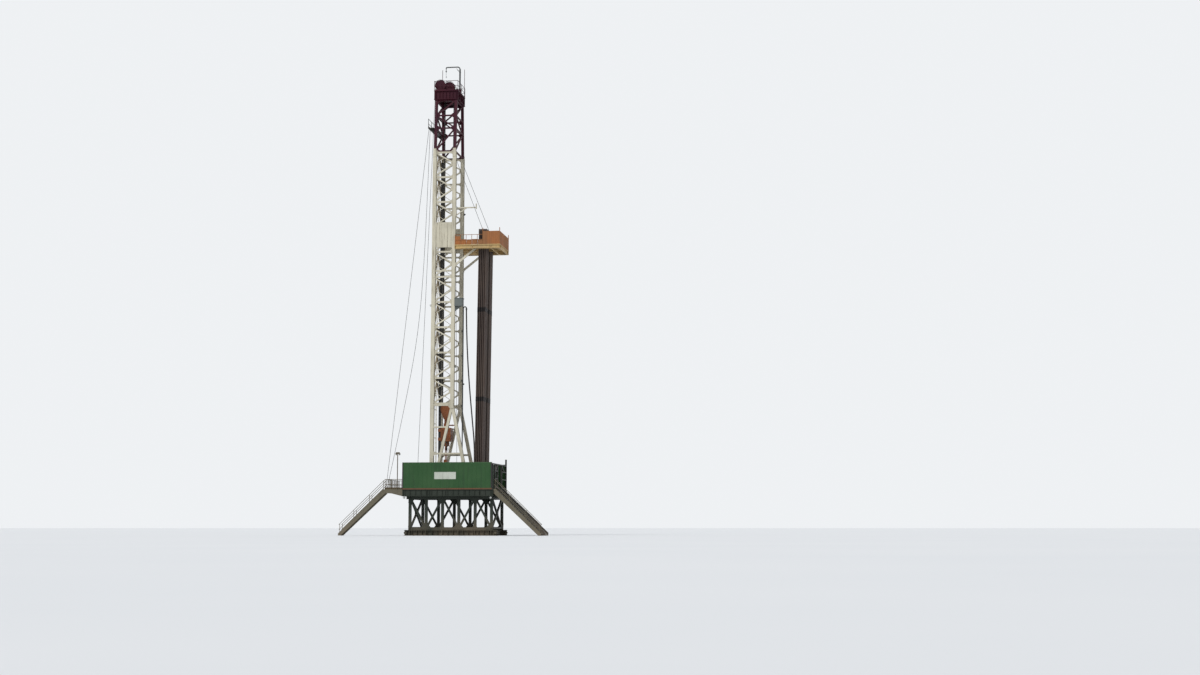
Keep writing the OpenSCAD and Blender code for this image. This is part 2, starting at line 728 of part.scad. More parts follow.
// Side panel of the crown with its two legs, leaning in towards the top
module crown_side(s) {
    color(burgundy) translate([0, s * leg_y, mast_z1 + seat]) rotate([s * lean, 0, 0])
        intersection() {
            union() {
                for (x = [-leg_x, leg_x]) translate([x - crown_leg / 2, -crown_leg / 2, -60])
                    cube([crown_leg, crown_leg, crown_len + 120]);
                plate_y(0, lattice_t * 0.9) crown_bars(mast_d, mast_d, crown_len);
            }
            rotate([-s * lean, 0, 0]) translate([-mast_d, -mast_w, 0])
                cube([2 * mast_d, 2 * mast_w, crown_h - 2 * seat]);
        }
}

// Front or rear panel of the crown, between the leaning side panels
module crown_face(x) {
    h = crown_h - 2 * seat;
    foot_w = mast_w - crown_leg / cos(lean) - 2 * seat;
    top_w = crown_w - crown_leg / cos(lean) - 2 * seat;
    color(burgundy) translate([0, 0, mast_z1 + seat]) plate_x(x, lattice_t * 0.9) intersection() {
        crown_bars(foot_w + 20, top_w + 20, h);
        polygon([[-foot_w / 2, 0], [foot_w / 2, 0], [top_w / 2, h], [-top_w / 2, h]]);
    }
}

// Work platform behind the crown section, with an opening for the fast line
module crown_platform() {
    z = mast_z1 + platform_h;
    x1 = -leg_x - crown_leg / 2 - seat;
    x0 = x1 - 330;
    y1 = leg_y + 120;
    t = 40;
    down = (fast_z - z) / (fast_z - floor_z - drum_h);
    color(dark) union() {
        difference() {
            block([x0, -y1, z], [x1, y1, z + t]);
            translate([fast_top.x + down * (drum_end.x - fast_top.x), fast_top.y + down * (drum_end.y - fast_top.y), z])
                cube([110, 110, 4 * t], center = true);
        }
        for (y = [-y1 + 20, -y1 / 3, y1 / 3, y1 - 20]) rod([x0 + 20, y, z + 10], [x0 + 20, y, z + rail_h], rail_r);
        for (k = [0.5, 1]) rod([x0 + 20, -y1 + 20, z + rail_h * k - rail_r],
            [x0 + 20, y1 - 20, z + rail_h * k - rail_r], rail_r);
    }
}
fast_top = [fast_x - sheave_r + groove - line_gap, fast_y, fast_z];
drum_end = [drum_x - drum_r - line_gap, -200, floor_z + drum_h];

// Beams and deck on top of the crown section that carry the sheaves and the davit's sleeve
module water_table() {
    x1 = table_x;
    y1 = crown_y + crown_leg / 2 + table_out;
    z = table_z1;
    color(burgundy) difference() {
        union() {
            for (s = [-1, 1]) {
                beam_along_x(-x1, x1, s * (y1 - 80), z - 20, 160, table_h - 20, flange_t);
                beam_along_x(-x1, x1, s * (cluster_y + 150), z - 20, 120, table_h - 20, flange_t);
                beam_along_y(-y1, y1, s * (x1 - 80), z - 20, 160, table_h - 20, flange_t);
                rail_run([-x1 + 20, s * (y1 - 20), z - 5], [x1 - 20, s * (y1 - 20), z - 5], 2);
                rail_run([s * (x1 - 20), s < 0 ? fast_y + 110 : -y1 + 20, z - 5], [s * (x1 - 20), y1 - 20, z - 5], 2);
            }
            rail_run([20 - x1, -y1 + 20, z - 5], [20 - x1, fast_y - 110, z - 5], 1);
            block([-x1, -y1, z - 20], [x1, y1, z]);
            for (x = [-x1 + 60, x1 - 40]) rod([x, y1 - 60, z - 5], [x, y1 - 60, z + davit_h + 90], 14, 8);
            translate([davit_x, 0, z - 10]) cylinder(r = davit_r + 30, h = 250, $fn = 48);
        }
        translate([davit_x, 0, z + davit_foot]) cylinder(r = davit_r + 0.05, h = 300, $fn = 48);
        translate([0, 0, z]) cube([2 * sheave_r + 60, 2 * cluster_y + 100, 100], center = true);
    }
}

// One grooved sheave on an axis along y
module sheave(r, t) {
    rim = 6;
    rotate([90, 0, 0]) rotate_extrude($fn = 48)
        polygon([[30, -t / 2], [r, -t / 2], [r, -t / 2 + rim], [r - groove, -8], [r - groove, 8],
            [r, t / 2 - rim], [r, t / 2], [30, t / 2]]);
}

// Sheave cluster with its shaft and pillow blocks, and the fast-line sheave behind it
module crown_sheaves() {
    z = table_z1 + seat;
    color(burgundy) {
        union() {
            for (i = [0 : sheave_n - 1])
                translate([0, i * sheave_pitch - cluster_y, shaft_z]) sheave(sheave_r, sheave_t);
            translate([0, cluster_y + 170, shaft_z]) rotate([90, 0, 0])
                cylinder(r = 48, h = 2 * cluster_y + 340, $fn = 32);
            for (s = [-1, 1]) plate_y(s * (cluster_y + 110), 60)
                polygon([[-170, z], [170, z], [80, shaft_z + 80], [-80, shaft_z + 80]]);
        }
        union() {
            translate([fast_x, fast_y, fast_z]) sheave(sheave_r, sheave_t);
            translate([fast_x, fast_y + 80, fast_z]) rotate([90, 0, 0]) cylinder(r = 40, h = 160, $fn = 32);
            for (s = [-1, 1]) plate_y(fast_y + s * 62, 36)
                polygon([[fast_x - 70, z], [fast_x + 190, z], [fast_x + 50, fast_z + 60], [fast_x - 50, fast_z + 60]]);
        }
    }
}

// Swivelling davit: a post in the sleeve, an arm with curved ends and a hook
module crown_davit() {
    z0 = table_z1 + davit_foot + seat;
    z1 = table_z1 + davit_h;
    bend = 150;
    tip = 60;
    arm_r = davit_r * 0.7;
    color(steel) translate([davit_x, 0, 0]) union() {
        translate([0, 0, z0]) cylinder(r = davit_r, h = z1 - z0 - bend, $fn = 48);
        translate([-bend, 0, z1 - bend]) rotate([90, 0, 0]) rotate_extrude(angle = 90, $fn = 64)
            translate([bend, 0]) circle(r = arm_r, $fn = 24);
        translate([-bend, 0, z1]) rotate([0, -90, 0]) cylinder(r = arm_r, h = davit_reach - bend - tip, $fn = 24);
        translate([tip - davit_reach, 0, z1 - tip]) rotate([90, 0, 0]) rotate(90)
            rotate_extrude(angle = 90, $fn = 48) translate([tip, 0]) circle(r = arm_r, $fn = 24);
        translate([-davit_reach, 0, z1 - 220]) cylinder(r = arm_r * 0.6, h = 220 - tip, $fn = 24);
        translate([-davit_reach, 0, z1 - 240]) sphere(r = arm_r * 1.3, $fn = 24);
    }
}

// Racking board frame: side walkways, the end platform and the centre plank
module board_platform() {
    z = board_z;
    y1 = board_w / 2;
    beam = board_beam - 30;
    color(orange) union() {
        for (s = [-1, 1]) {
            block([board_x0, s * (y1 - walk_w / 2) - walk_w / 2, z - 30],
                [board_end, s * (y1 - walk_w / 2) + walk_w / 2, z]);
            beam_along_x(board_x0, board_end, s * (y1 - 50), z - 30, 100, beam, 14);
            beam_along_x(board_x0, board_end, s * (y1 - walk_w + 30), z - 30, 60, beam, 12);
            for (x = [board_x0 + 40, (board_x0 + end_x) / 2])
                beam_along_y(s * (y1 - walk_w / 2) - walk_w / 2, s * (y1 - walk_w / 2) + walk_w / 2, x, z - 30, 80, beam, 12);
        }
        block([end_x, -y1, z - 30], [board_end, y1, z]);
        for (x = [end_x + 40, board_end - 50]) beam_along_y(-y1, y1, x, z - 30, 80, beam, 14);
        block([board_x0 + 200, -plank_w / 2, z - 60], [end_x + 50, plank_w / 2, z - 30]);
        beam_along_x(board_x0 + 200, end_x + 50, 0, z - 60, 80, beam - 60, 12);
    }
}

// Fingers that hold the racked pipe, standing out from the side walkways
module board_fingers() {
    y0 = plank_w / 2 + 40;
    y1 = board_w / 2 - walk_w - seat;
    color(orange) for (s = [-1, 1]) for (i = [0 : finger_n - 1])
        translate([finger_x0 + i * pipe_pitch - finger_w / 2, s > 0 ? y0 : -y1, board_z - 90])
            cube([finger_w, y1 - y0, 60]);
}

// Rails along the sides of the board and wind boards round its end
module board_rails() {
    z = board_z + seat;
    y1 = board_w / 2 - 20;
    color(orange) union() {
        for (s = [-1, 1]) {
            rail_run([board_x0 + 20, s * y1, z], [end_x - 400, s * y1, z], 5, board_rail);
            block([end_x - 400, s * y1 - 12, z], [board_end - 8, s * y1 + 12, z + board_wall]);
            rod([end_x - 400, s * y1, z], [end_x - 400, s * y1, z + board_wall + 200], 20);
            rod([board_end - 20, s * y1, z], [board_end - 20, s * y1, z + board_wall + 220], 20);
        }
        block([board_end - 32, -y1, z], [board_end - 8, y1, z + board_wall]);
    }
}

// Boom that stands out from the near front leg above the board, with a post at its end
module board_boom() {
    z = floor_z + boom_h;
    x0 = leg_x + leg_w / 2 + seat;
    x1 = x0 + boom_l;
    color(cream) union() {
        plate_y(-leg_y, 70) {
            bar([x0, z], [x1, z], 60);
            bar([x0 + 10, z - 420], [x0 + 620, z], 44);
            bar([x1 - 25, z - 90], [x1 - 25, z + 210], 50);
        }
        block([x0, -leg_y - leg_w / 2, z - 460], [x0 + 30, -leg_y + leg_w / 2, z + 60]);
    }
}

// Service box on the near front leg, level with the gooseneck
module service_box() {
    x0 = leg_x + leg_w / 2 + seat;
    z = floor_z + box_h;
    color(steel) union() {
        block([x0, -leg_y - 170, z], [x0 + box_l, -leg_y + 210, z + 420]);
        block([x0, -leg_y - 190, z + 410], [x0 + box_l + 30, -leg_y + 230, z + 440]);
        block([x0, -leg_y - 60, z - 260], [x0 + 60, -leg_y + 60, z + 10]);
        plate_y(-leg_y, 50) polygon([[x0, z - 240], [x0 + 40, z - 240], [x0 + box_l - 60, z + 5], [x0, z + 5]]);
    }
}

// Closed panels between the legs of both mast sides, at the height of the board
module mast_panels() {
    x1 = leg_x - leg_t / 2 - seat;
    for (s = [-1, 1]) let (y0 = s * (leg_y + lattice_t / 2 + seat))
        color(cream) union() {
            block([-x1, min(y0, y0 + s * panel_t), floor_z + panel_z],
                [x1, max(y0, y0 + s * panel_t), floor_z + panel_z + panel_h]);
            for (x = [-x1 + 25, -180, 180, x1 - 25])
                block([x - 25, min(y0, y0 + s * (panel_t + 14)), floor_z + panel_z + 20],
                    [x + 25, max(y0, y0 + s * (panel_t + 14)), floor_z + panel_z + panel_h - 20]);
        }
}

// Knee braces under the board, from the front legs
module board_braces() {
    x0 = leg_x + leg_w / 2 + seat;
    color(cream) for (s = [-1, 1]) union() {
        plate_y(s * leg_y, 90) polygon([[x0, board_z - 1150], [x0, board_z - 1000],
            [leg_x + 1100, board_z - board_beam - seat], [leg_x + 1260, board_z - board_beam - seat]]);
        block([x0, s * leg_y - leg_w / 2, board_z - 1190], [x0 + 30, s * leg_y + leg_w / 2, board_z - 960]);
    }
}

// One bank of racked pipe, leaning outward at the board
module racked_pipe(s) {
    tilt = atan2(pipe_lean, board_h);
    color(steel) for (i = [0 : pipe_rows - 1]) for (j = [0 : pipe_cols - 1])
        translate([bank_x + i * pipe_pitch, s * (bank_y0 + (j + 0.5) * pipe_pitch), floor_z + mat_t + seat])
            intersection() {
                rotate([0, tilt, 0]) translate([0, 0, -20]) union() {
                    cylinder(d = pipe_d, h = pipe_l, $fn = 8);
                    for (z = [0, pipe_l - 300]) translate([0, 0, z]) cylinder(d = joint_d, h = 300, $fn = 8);
                }
                translate([-200, -200, 0]) cube([900, 400, pipe_l + 100]);
            }
}

// Stay from the crown platform to the rear platform, and the hang lines of the board.
// Each end stands off by as much as the slanting rod's edge reaches past its centre.
module stay_lines() {
    x0 = -leg_x - crown_leg / 2 - 300;
    stay_off = seat + line_r * 0.12;
    hang_off = seat + line_r * 0.4;
    color(dark) {
        rod([x0, -leg_y, mast_z1 + platform_h - stay_off],
            [porch_x + 60, -porch_w / 2 + 60, floor_z + stay_off], line_r);
        for (s = [-1, 1]) rod([leg_x + leg_t / 2 + line_gap + hang_off, s * leg_y, mast_z1 - 300],
            [end_x - 100, s * (board_w / 2 - 60), board_z + hang_off], line_r);
    }
}

// Slack line behind the mast
module slack_line() {
    color(dark) swept_tube(slack_path, line_r, 6);
}

// Fast line from the crown to the drum, and the deadline down the far side
module hoist_lines() {
    color(dark) {
        rod(fast_top, drum_end, line_r);
        rod([sheave_r - groove + line_gap, cluster_y, shaft_z],
            [leg_x - 120, leg_y - 145, floor_z + seat + line_r * 0.05], line_r);
    }
}

// Lines between the crown cluster and the travelling block
module drilling_lines() {
    n = sheave_n - 1;
    color(dark) for (i = [0 : n - 1]) let (y = (i - (n - 1) / 2) * sheave_pitch) for (s = [-1, 1])
        rod([s * (block_r - groove + line_gap), y, sheave_z],
            [s * (sheave_r - groove + line_gap), y - s * sheave_pitch / 2, shaft_z], line_r, 6);
}

// Travelling block with its sheaves between cheek plates and the hook below
module travelling_block() {
    n = sheave_n - 1;
    z0 = block_z + seat;
    color(orange) union() {
        for (s = [-1, 1]) plate_y(s * (block_t / 2 - 20), 40) hull() {
            translate([0, sheave_z]) circle(r = cheek_r, $fn = 32);
            translate([0, z0 + 320]) circle(r = 130, $fn = 32);
        }
        for (i = [0 : n - 1]) translate([0, (i - (n - 1) / 2) * sheave_pitch, sheave_z])
            sheave(block_r, sheave_t);
        translate([0, block_t / 2 + 20, sheave_z]) rotate([90, 0, 0]) cylinder(r = 44, h = block_t + 40, $fn = 32);
        translate([0, block_t / 2, z0 + 320]) rotate([90, 0, 0]) cylinder(r = 44, h = block_t, $fn = 32);
        block([-90, -110, z0], [90, 110, z0 + 330]);
    }
}

// Top drive: body, guide dolly round the track, links, elevator and the hose's gooseneck
module top_drive() {
    z1 = block_z;
    z0 = z1 - drive_h;
    front = track_x + track_w / 2 + run_gap;
    hw = drive_w / 2;
    claw = track_w / 2 + run_gap;
    pipe_z = hose_end.z + 80;
    elbow = 60;
    color(orange) union() {
        block([front + 60, -hw, z0 + 250], [hw, hw, z1 - 260]);
        translate([0, 0, z1 - 270]) cylinder(r = 150, h = 270, $fn = 48);
        translate([0, 0, z0]) cylinder(r = 170, h = 260, $fn = 48);
        translate([0, 0, z0 - 240]) cylinder(r = 60, h = 250, $fn = 32);
        for (z = [z0 + 300, z1 - 460]) {
            block([front, -130, z], [front + 130, 130, z + 160]);
            for (s = [-1, 1]) block([front - claw * 2, s * (claw + 25) - 25, z],
                [front + 60, s * (claw + 25) + 25, z + 160]);
        }
        for (s = [-1, 1]) rod([0, s * 200, z0 + 300], [0, s * 150, z0 - link_l + 100], 26);
        block([-90, -200, z0 - link_l], [90, 200, z0 - link_l + 150]);
        translate([100, 0, pipe_z]) rotate([0, 90, 0]) cylinder(r = 34, h = hose_end.x - elbow - 100, $fn = 24);
        translate([hose_end.x - elbow, 0, pipe_z - elbow]) rotate([90, 0, 0])
            rotate_extrude(angle = 90, $fn = 48) translate([elbow, 0]) circle(r = 34, $fn = 24);
        translate([hose_end.x, 0, hose_end.z + seat]) cylinder(r = hose_r + 10, h = 40, $fn = 24);
    }
}

base_skid(-1);  // base_skid_near
base_skid(1);  // base_skid_far
base_spreaders();
side_frame(-1);  // side_frame_near
side_frame(1);  // side_frame_far
cross_bracing();
floor_frame();
floor_deck();
rotary_table();
drawworks();
side_wall(-1);  // wind_wall_near
side_wall(1);  // wind_wall_far
wind_wall_rear();
v_door_frame();
v_door_ramp();
stair_sides(floor_front, 1, front_stair_y);  // front_stair
stair_treads(floor_front, 1, front_stair_y);  // front_stair_treads
rear_platform();
stair_sides(porch_x, -1, rear_stair_y);  // rear_stair
stair_treads(porch_x, -1, rear_stair_y);  // rear_stair_treads
handrails();
mast_base(-1);  // mast_base_near
mast_base(1);  // mast_base_far
mast_side(-1);  // mast_side_near
mast_side(1);  // mast_side_far
mast_rear();
torque_track();
ladder();
standpipe();
rotary_hose();
crown_side(-1);  // crown_near
crown_side(1);  // crown_far
crown_face(-leg_x);  // crown_rear
crown_face(leg_x);  // crown_front
crown_platform();
water_table();
crown_sheaves();
crown_davit();
board_platform();
board_fingers();
board_rails();
board_braces();
board_boom();
mast_panels();
service_box();
racked_pipe(-1);  // racked_pipe_near
racked_pipe(1);  // racked_pipe_far
stay_lines();
slack_line();
hoist_lines();
drilling_lines();
travelling_block();
top_drive();
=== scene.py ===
# Land drilling rig at 1:2 scale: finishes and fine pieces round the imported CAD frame. Metres throughout.
import json
import math
import bmesh
import bpy
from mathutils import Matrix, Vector


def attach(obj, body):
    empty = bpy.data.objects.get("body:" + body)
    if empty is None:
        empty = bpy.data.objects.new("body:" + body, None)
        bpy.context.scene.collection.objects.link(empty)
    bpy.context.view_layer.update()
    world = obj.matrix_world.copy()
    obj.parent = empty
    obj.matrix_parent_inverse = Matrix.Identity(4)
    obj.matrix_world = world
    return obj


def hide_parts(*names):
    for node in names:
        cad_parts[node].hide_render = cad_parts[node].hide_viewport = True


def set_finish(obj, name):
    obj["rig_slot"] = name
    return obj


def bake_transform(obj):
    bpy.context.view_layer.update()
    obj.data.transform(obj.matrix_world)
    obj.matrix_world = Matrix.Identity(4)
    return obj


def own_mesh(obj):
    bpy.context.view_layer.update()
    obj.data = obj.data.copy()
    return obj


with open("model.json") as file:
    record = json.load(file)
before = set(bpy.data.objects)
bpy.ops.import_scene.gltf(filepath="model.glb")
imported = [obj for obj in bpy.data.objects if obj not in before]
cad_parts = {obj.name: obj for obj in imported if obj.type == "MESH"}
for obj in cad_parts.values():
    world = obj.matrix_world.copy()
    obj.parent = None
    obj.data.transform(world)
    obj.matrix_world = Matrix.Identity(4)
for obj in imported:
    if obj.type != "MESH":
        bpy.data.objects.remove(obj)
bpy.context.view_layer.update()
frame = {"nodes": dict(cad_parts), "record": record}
nodes = frame["nodes"]
floorZ = 2.5  # drill floor above the ground
legX, legY = 0.555, 1.025  # mast leg centres from the well
mastFoot, bayHeight = 7.14, 1.41  # lattice sides of the mast
boardZ = 15.93  # top of the racking board
crownTop = 24.78  # top of the water table
xWay, yWay, zWay = (1, 0, 0), (0, 1, 0), (0, 0, 1)
print("frame loaded:", len(nodes), "nodes")


# camera where the picture was taken: low, far off and to the ramp side

view = {
    "distance": 92.5,
    "azimuth": 13.0,
    "eyeHeight": 0.44,
    "tiltUp": 6.5,
    "turnRight": 5.27,
    "lens": 50.0,
}


def addCamera():
    data = bpy.data.cameras.new("rigCamera")
    data.lens = view["lens"]
    data.sensor_width = 36
    data.clip_start, data.clip_end = 1, 2000
    camera = bpy.data.objects.new("rigCamera", data)
    around = math.radians(view["azimuth"])
    reach = view["distance"]
    camera.location = (reach * math.sin(around), -reach * math.cos(around), view["eyeHeight"])
    camera.rotation_euler = (
        math.radians(90 + view["tiltUp"]),
        0,
        math.radians(view["azimuth"] - view["turnRight"]),
    )
    bpy.context.scene.collection.objects.link(camera)
    bpy.context.scene.camera = camera


addCamera()
bpy.context.scene.view_settings.view_transform = "Standard"
print("camera set")


# shader sockets as values that can be added, multiplied and mixed


class Wire:
    def __init__(self, tree, socket=None):
        self.tree, self.socket = tree, socket

    def node(self, kind, settings, inputs, output=0):
        made = self.tree.nodes.new("ShaderNode" + kind)
        for key, value in settings.items():
            setattr(made, key, value)
        for key, value in inputs.items():
            if isinstance(value, Wire):
                self.tree.links.new(value.socket, made.inputs[key])
            else:
                made.inputs[key].default_value = value
        return Wire(self.tree, made.outputs[output] if made.outputs else None)

    def sum(self, operation, first, second):
        kinds = [x.socket.type for x in (first, second) if isinstance(x, Wire)]
        if "RGBA" in kinds:  # a Math node would turn the colour grey
            settings = {"data_type": "RGBA", "blend_type": operation}
            return self.node("Mix", settings, {0: 1.0, 6: first, 7: second}, 2)
        if "VECTOR" in kinds:
            return self.node("VectorMath", {"operation": operation}, {0: first, 1: second})
        return self.node("Math", {"operation": operation}, {0: first, 1: second})

    def __add__(self, other):
        return self.sum("ADD", self, other)

    def __radd__(self, other):
        return self.sum("ADD", other, self)

    def __sub__(self, other):
        return self.sum("SUBTRACT", self, other)

    def __rsub__(self, other):
        return self.sum("SUBTRACT", other, self)

    def __mul__(self, other):
        return self.sum("MULTIPLY", self, other)

    def __rmul__(self, other):
        return self.sum("MULTIPLY", other, self)

    def toward(self, colour, amount):  # part of the way from this colour to another
        return self.node("Mix", {"data_type": "RGBA"}, {0: amount, 6: self, 7: srgb(*colour)}, 2)

    def mix(self, low, high):  # one colour where this value is 0, another where it is 1
        return self.node("Mix", {"data_type": "RGBA"}, {0: self, 6: srgb(*low), 7: srgb(*high)}, 2)

    def between(self, low, high):  # 0 below low, 1 above high
        return self.node("MapRange", {"clamp": True}, {"Value": self, "From Min": low, "From Max": high})

    def place(self):  # where a point lies on the object
        return self.node("TexCoord", {}, {}, 3)

    def noise(self, place, scale, detail, roughness=0.5):
        inputs = {"Vector": place, "Scale": scale, "Detail": detail, "Roughness": roughness}
        return self.node("TexNoise", {}, inputs)

    def bump(self, strength, distance, height):
        return self.node("Bump", {}, {"Strength": strength, "Distance": distance, "Height": height})


def srgb(red, green, blue):
    parts = [c / 255 for c in (red, green, blue)]
    return tuple(c / 12.92 if c <= 0.04045 else ((c + 0.055) / 1.055) ** 2.4 for c in parts) + (1.0,)


def newFinish(name):
    material = bpy.data.materials.new(name)
    material.use_nodes = True
    tree = material.node_tree
    tree.nodes.clear()
    return material, Wire(tree)


def closeFinish(start, inputs):
    shader = start.node("BsdfPrincipled", {}, inputs)
    start.node("OutputMaterial", {}, {"Surface": shader})


# paint that has stood outdoors: faded patches, run streaks, rust, dust on top faces, mud near the ground
def weatheredPaint(name, look):
    material, start = newFinish(name)
    place = start.place()
    height = start.node("SeparateXYZ", {}, {0: place}, 2)
    facing = start.node("SeparateXYZ", {}, {0: start.node("NewGeometry", {}, {}, 1)}, 2)
    patches = start.noise(place, look["patch"], 5.0, 0.6)
    grain = start.noise(place, look["grain"], 8.0, 0.65)
    drawnOut = start.node("Mapping", {}, {"Vector": place, "Scale": look["stretch"]})
    streaks = start.noise(drawnOut, look["streakScale"], 6.0, 0.7)
    fade = patches.between(*look["fadeRange"])
    runs = streaks.between(*look["runRange"]) * look["streak"]
    rust = (grain * 0.55 + streaks * 0.45).between(look["rust"], look["rust"] + look["rustEdge"])
    dust = facing.between(*look["topFaces"]) * (grain * 0.8 + 0.3) * look["dust"]
    mud = (0.0 - height).between(-look["mudHeight"], 0.0) * patches.between(*look["mudRange"]) * look["mud"]
    colour = fade.mix(look["colour"], look["faded"]).toward(look["dark"], runs)
    colour = colour.toward(look["rustColour"], rust * look["rustCover"])
    colour = colour.toward(look["dustColour"], dust).toward(look["mudColour"], mud)
    rough = look["rough"] + fade * 0.12 + rust * 0.3 + dust * 0.2
    relief = start.bump(look["bump"], 0.012, grain + rust * -0.6)
    closeFinish(start, {
        "Base Color": colour,
        "Roughness": rough.between(0.0, 1.0),
        "Metallic": rust * -look["metal"] + look["metal"] if look["metal"] else 0.0,
        "Specular IOR Level": look["gloss"],
        "Normal": relief,
    })
    return material


commonWear = {
    "patch": 0.7, "grain": 16.0, "streak": 0.4, "rust": 0.62, "dust": 0.35, "mud": 0.55, "rough": 0.5,
    "bump": 0.25, "metal": 0.0, "gloss": 0.3, "rustColour": (92, 56, 36), "dustColour": (150, 142, 126),
    "mudColour": (112, 98, 80), "rustCover": 0.85, "rustEdge": 0.07, "streakScale": 1.6,
    "stretch": (7.0, 7.0, 0.45), "fadeRange": (0.38, 0.68), "runRange": (0.52, 0.74),
    "mudRange": (0.3, 0.62), "mudHeight": 1.1,  # metres above the ground
    "topFaces": (0.35, 0.95),  # how far a face looks up before dust lies on it
}
paintLooks = {  # paint, where it has faded, its dark runs, and what differs from the common wear
    "mast_cream": ((198, 192, 172), (176, 170, 152), (96, 84, 66),
                   {"streak": 0.7, "rust": 0.585, "rustColour": (104, 76, 52)}),
    "crown_burgundy": ((62, 16, 28), (54, 20, 34), (28, 14, 20), {"dust": 0.15, "gloss": 0.15}),
    "wall_green": ((32, 70, 33), (44, 78, 41), (30, 46, 34), {"streak": 0.5, "rough": 0.42}),
    "dark_green_paint": ((34, 42, 33), (44, 50, 42), (20, 22, 18), {"mud": 0.8}),
    "black_paint": ((38, 38, 37), (52, 50, 47), (22, 22, 22), {"mud": 0.7}),
    "rail_tan": ((94, 88, 72), (106, 100, 84), (52, 48, 40), {"grain": 22.0}),
    "board_orange": ((158, 96, 48), (132, 92, 58), (62, 44, 32), {"streak": 0.5}),
    "deck_steel": ((50, 54, 50), (66, 66, 60), (30, 30, 28), {"rough": 0.4, "dust": 0.5}),
    "worn_steel": ((92, 94, 92), (78, 80, 80), (40, 38, 36), {"metal": 0.5, "rough": 0.38}),
    "pipe_steel": ((74, 63, 58), (86, 74, 66), (44, 38, 36),
                   {"metal": 0.3, "rust": 0.55, "rustColour": (86, 58, 42)}),
    "joint_steel": ((40, 37, 37), (50, 46, 44), (24, 22, 22), {"metal": 0.5, "rough": 0.4}),
    "porch_brown": ((80, 68, 48), (90, 80, 60), (44, 38, 30), {"grain": 22.0}),
    "sill_brown": ((96, 66, 42), (86, 66, 46), (44, 34, 26), {"streak": 0.6}),
    # darker copy of the mast cream: painted shade for the mast's rear face, with somewhat more streaks and
    # rust
    "mast_rust_and_painted_shade": ((142, 128, 104), (122, 112, 94), (64, 52, 40),
                   {"streak": 0.8, "rust": 0.57, "rustColour": (88, 60, 42)}),
    "box_grey": ((96, 102, 100), (110, 114, 110), (50, 52, 50), {"rough": 0.45}),
    "sign_white": ((186, 190, 180), (168, 174, 162), (112, 112, 100), {"rough": 0.4}),
    "drive_orange": ((134, 74, 40), (146, 92, 58), (44, 34, 28), {"rough": 0.4}),
    "board_sand": ((188, 158, 104), (170, 146, 104), (92, 72, 46), {"streak": 0.55}),
    "bright_steel": ((150, 150, 146), (126, 126, 122), (60, 58, 54),
                     {"metal": 0.85, "rough": 0.28, "rust": 0.66}),
}
finishes = {}
for name, (colour, faded, dark, wear) in paintLooks.items():
    look = {**commonWear, "colour": colour, "faded": faded, "dark": dark, **wear}
    finishes[name] = weatheredPaint(name, look)


# greased wire rope: strands wound round it show as slanting ridges
def ropeFinish(name):
    material, start = newFinish(name)
    place = start.place()
    waves = {"Vector": place, "Scale": 26.0, "Distortion": 0.4}
    strands = start.node("TexWave", {"bands_direction": "DIAGONAL"}, waves)
    dirt = start.noise(place, 3.0, 6.0)
    colour = strands.mix((34, 33, 32), (72, 70, 66)).toward((48, 38, 30), dirt.between(0.5, 0.7) * 0.6)
    relief = start.bump(0.6, 0.004, strands)
    rough = 0.38 + dirt * 0.3
    closeFinish(start, {"Base Color": colour, "Roughness": rough, "Metallic": 0.6, "Normal": relief})
    return material


# wrapped rubber hose: fine bands along its length, and chalky scuffs
def hoseFinish(name):
    material, start = newFinish(name)
    along = start.node("Attribute", {"attribute_name": "along"}, {}, 2)
    bands = start.node("Math", {"operation": "SINE"}, {0: along * 190.0})
    scuffs = start.noise(start.place(), 9.0, 7.0, 0.7)
    colour = scuffs.between(0.42, 0.72).mix((26, 26, 27), (66, 62, 58))
    relief = start.bump(0.35, 0.004, bands * 0.5 + scuffs)
    closeFinish(start, {"Base Color": colour, "Roughness": 0.6 + scuffs * 0.25, "Normal": relief})
    return material


# lamp glass: pale, faintly ribbed, with dusty patches
def lampFinish(name):
    material, start = newFinish(name)
    place = start.place()
    prisms = start.node("TexWave", {"bands_direction": "X"}, {"Vector": place, "Scale": 22.0})
    haze = start.noise(place, 12.0, 4.0)
    colour = prisms.mix((196, 200, 198), (232, 232, 222)).toward((150, 142, 122), haze.between(0.5, 0.8))
    inputs = {"Base Color": colour, "Roughness": 0.12 + haze * 0.2, "Coat Weight": 0.6}
    closeFinish(start, {**inputs, "Normal": start.bump(0.3, 0.004, prisms)})
    return material


# plain pale floor, barely mottled
def floorFinish(name):
    material, start = newFinish(name)
    colour = start.noise(start.place(), 0.15, 4.0).mix((214, 216, 218), (220, 221, 222))
    closeFinish(start, {"Base Color": colour, "Roughness": 0.9})
    return material


finishes["wire_rope"] = ropeFinish("wire_rope")
finishes["hose_rubber"] = hoseFinish("hose_rubber")
finishes["lamp_glass"] = lampFinish("lamp_glass")
finishes["stage_floor"] = floorFinish("stage_floor")
nodeFinish = {  # nodes whose paint differs from their slot's own
    # the mast's rear face takes the darker cream, which is painted shade
    "mast_rear": "mast_rust_and_painted_shade", "handrails": "porch_brown",
    "travelling_block": "drive_orange", "top_drive": "drive_orange", "service_box": "box_grey",
    "board_platform": "board_sand", "board_fingers": "board_sand",
}
for part in frame["record"]["subparts"]:
    mesh = nodes[part["node"]].data
    mesh.materials.clear()
    mesh.materials.append(finishes[nodeFinish.get(part["node"], part["material_slot"])])
print("finishes made:", len(finishes))


# shapes are gathered in a bag of points and faces, then become one piece


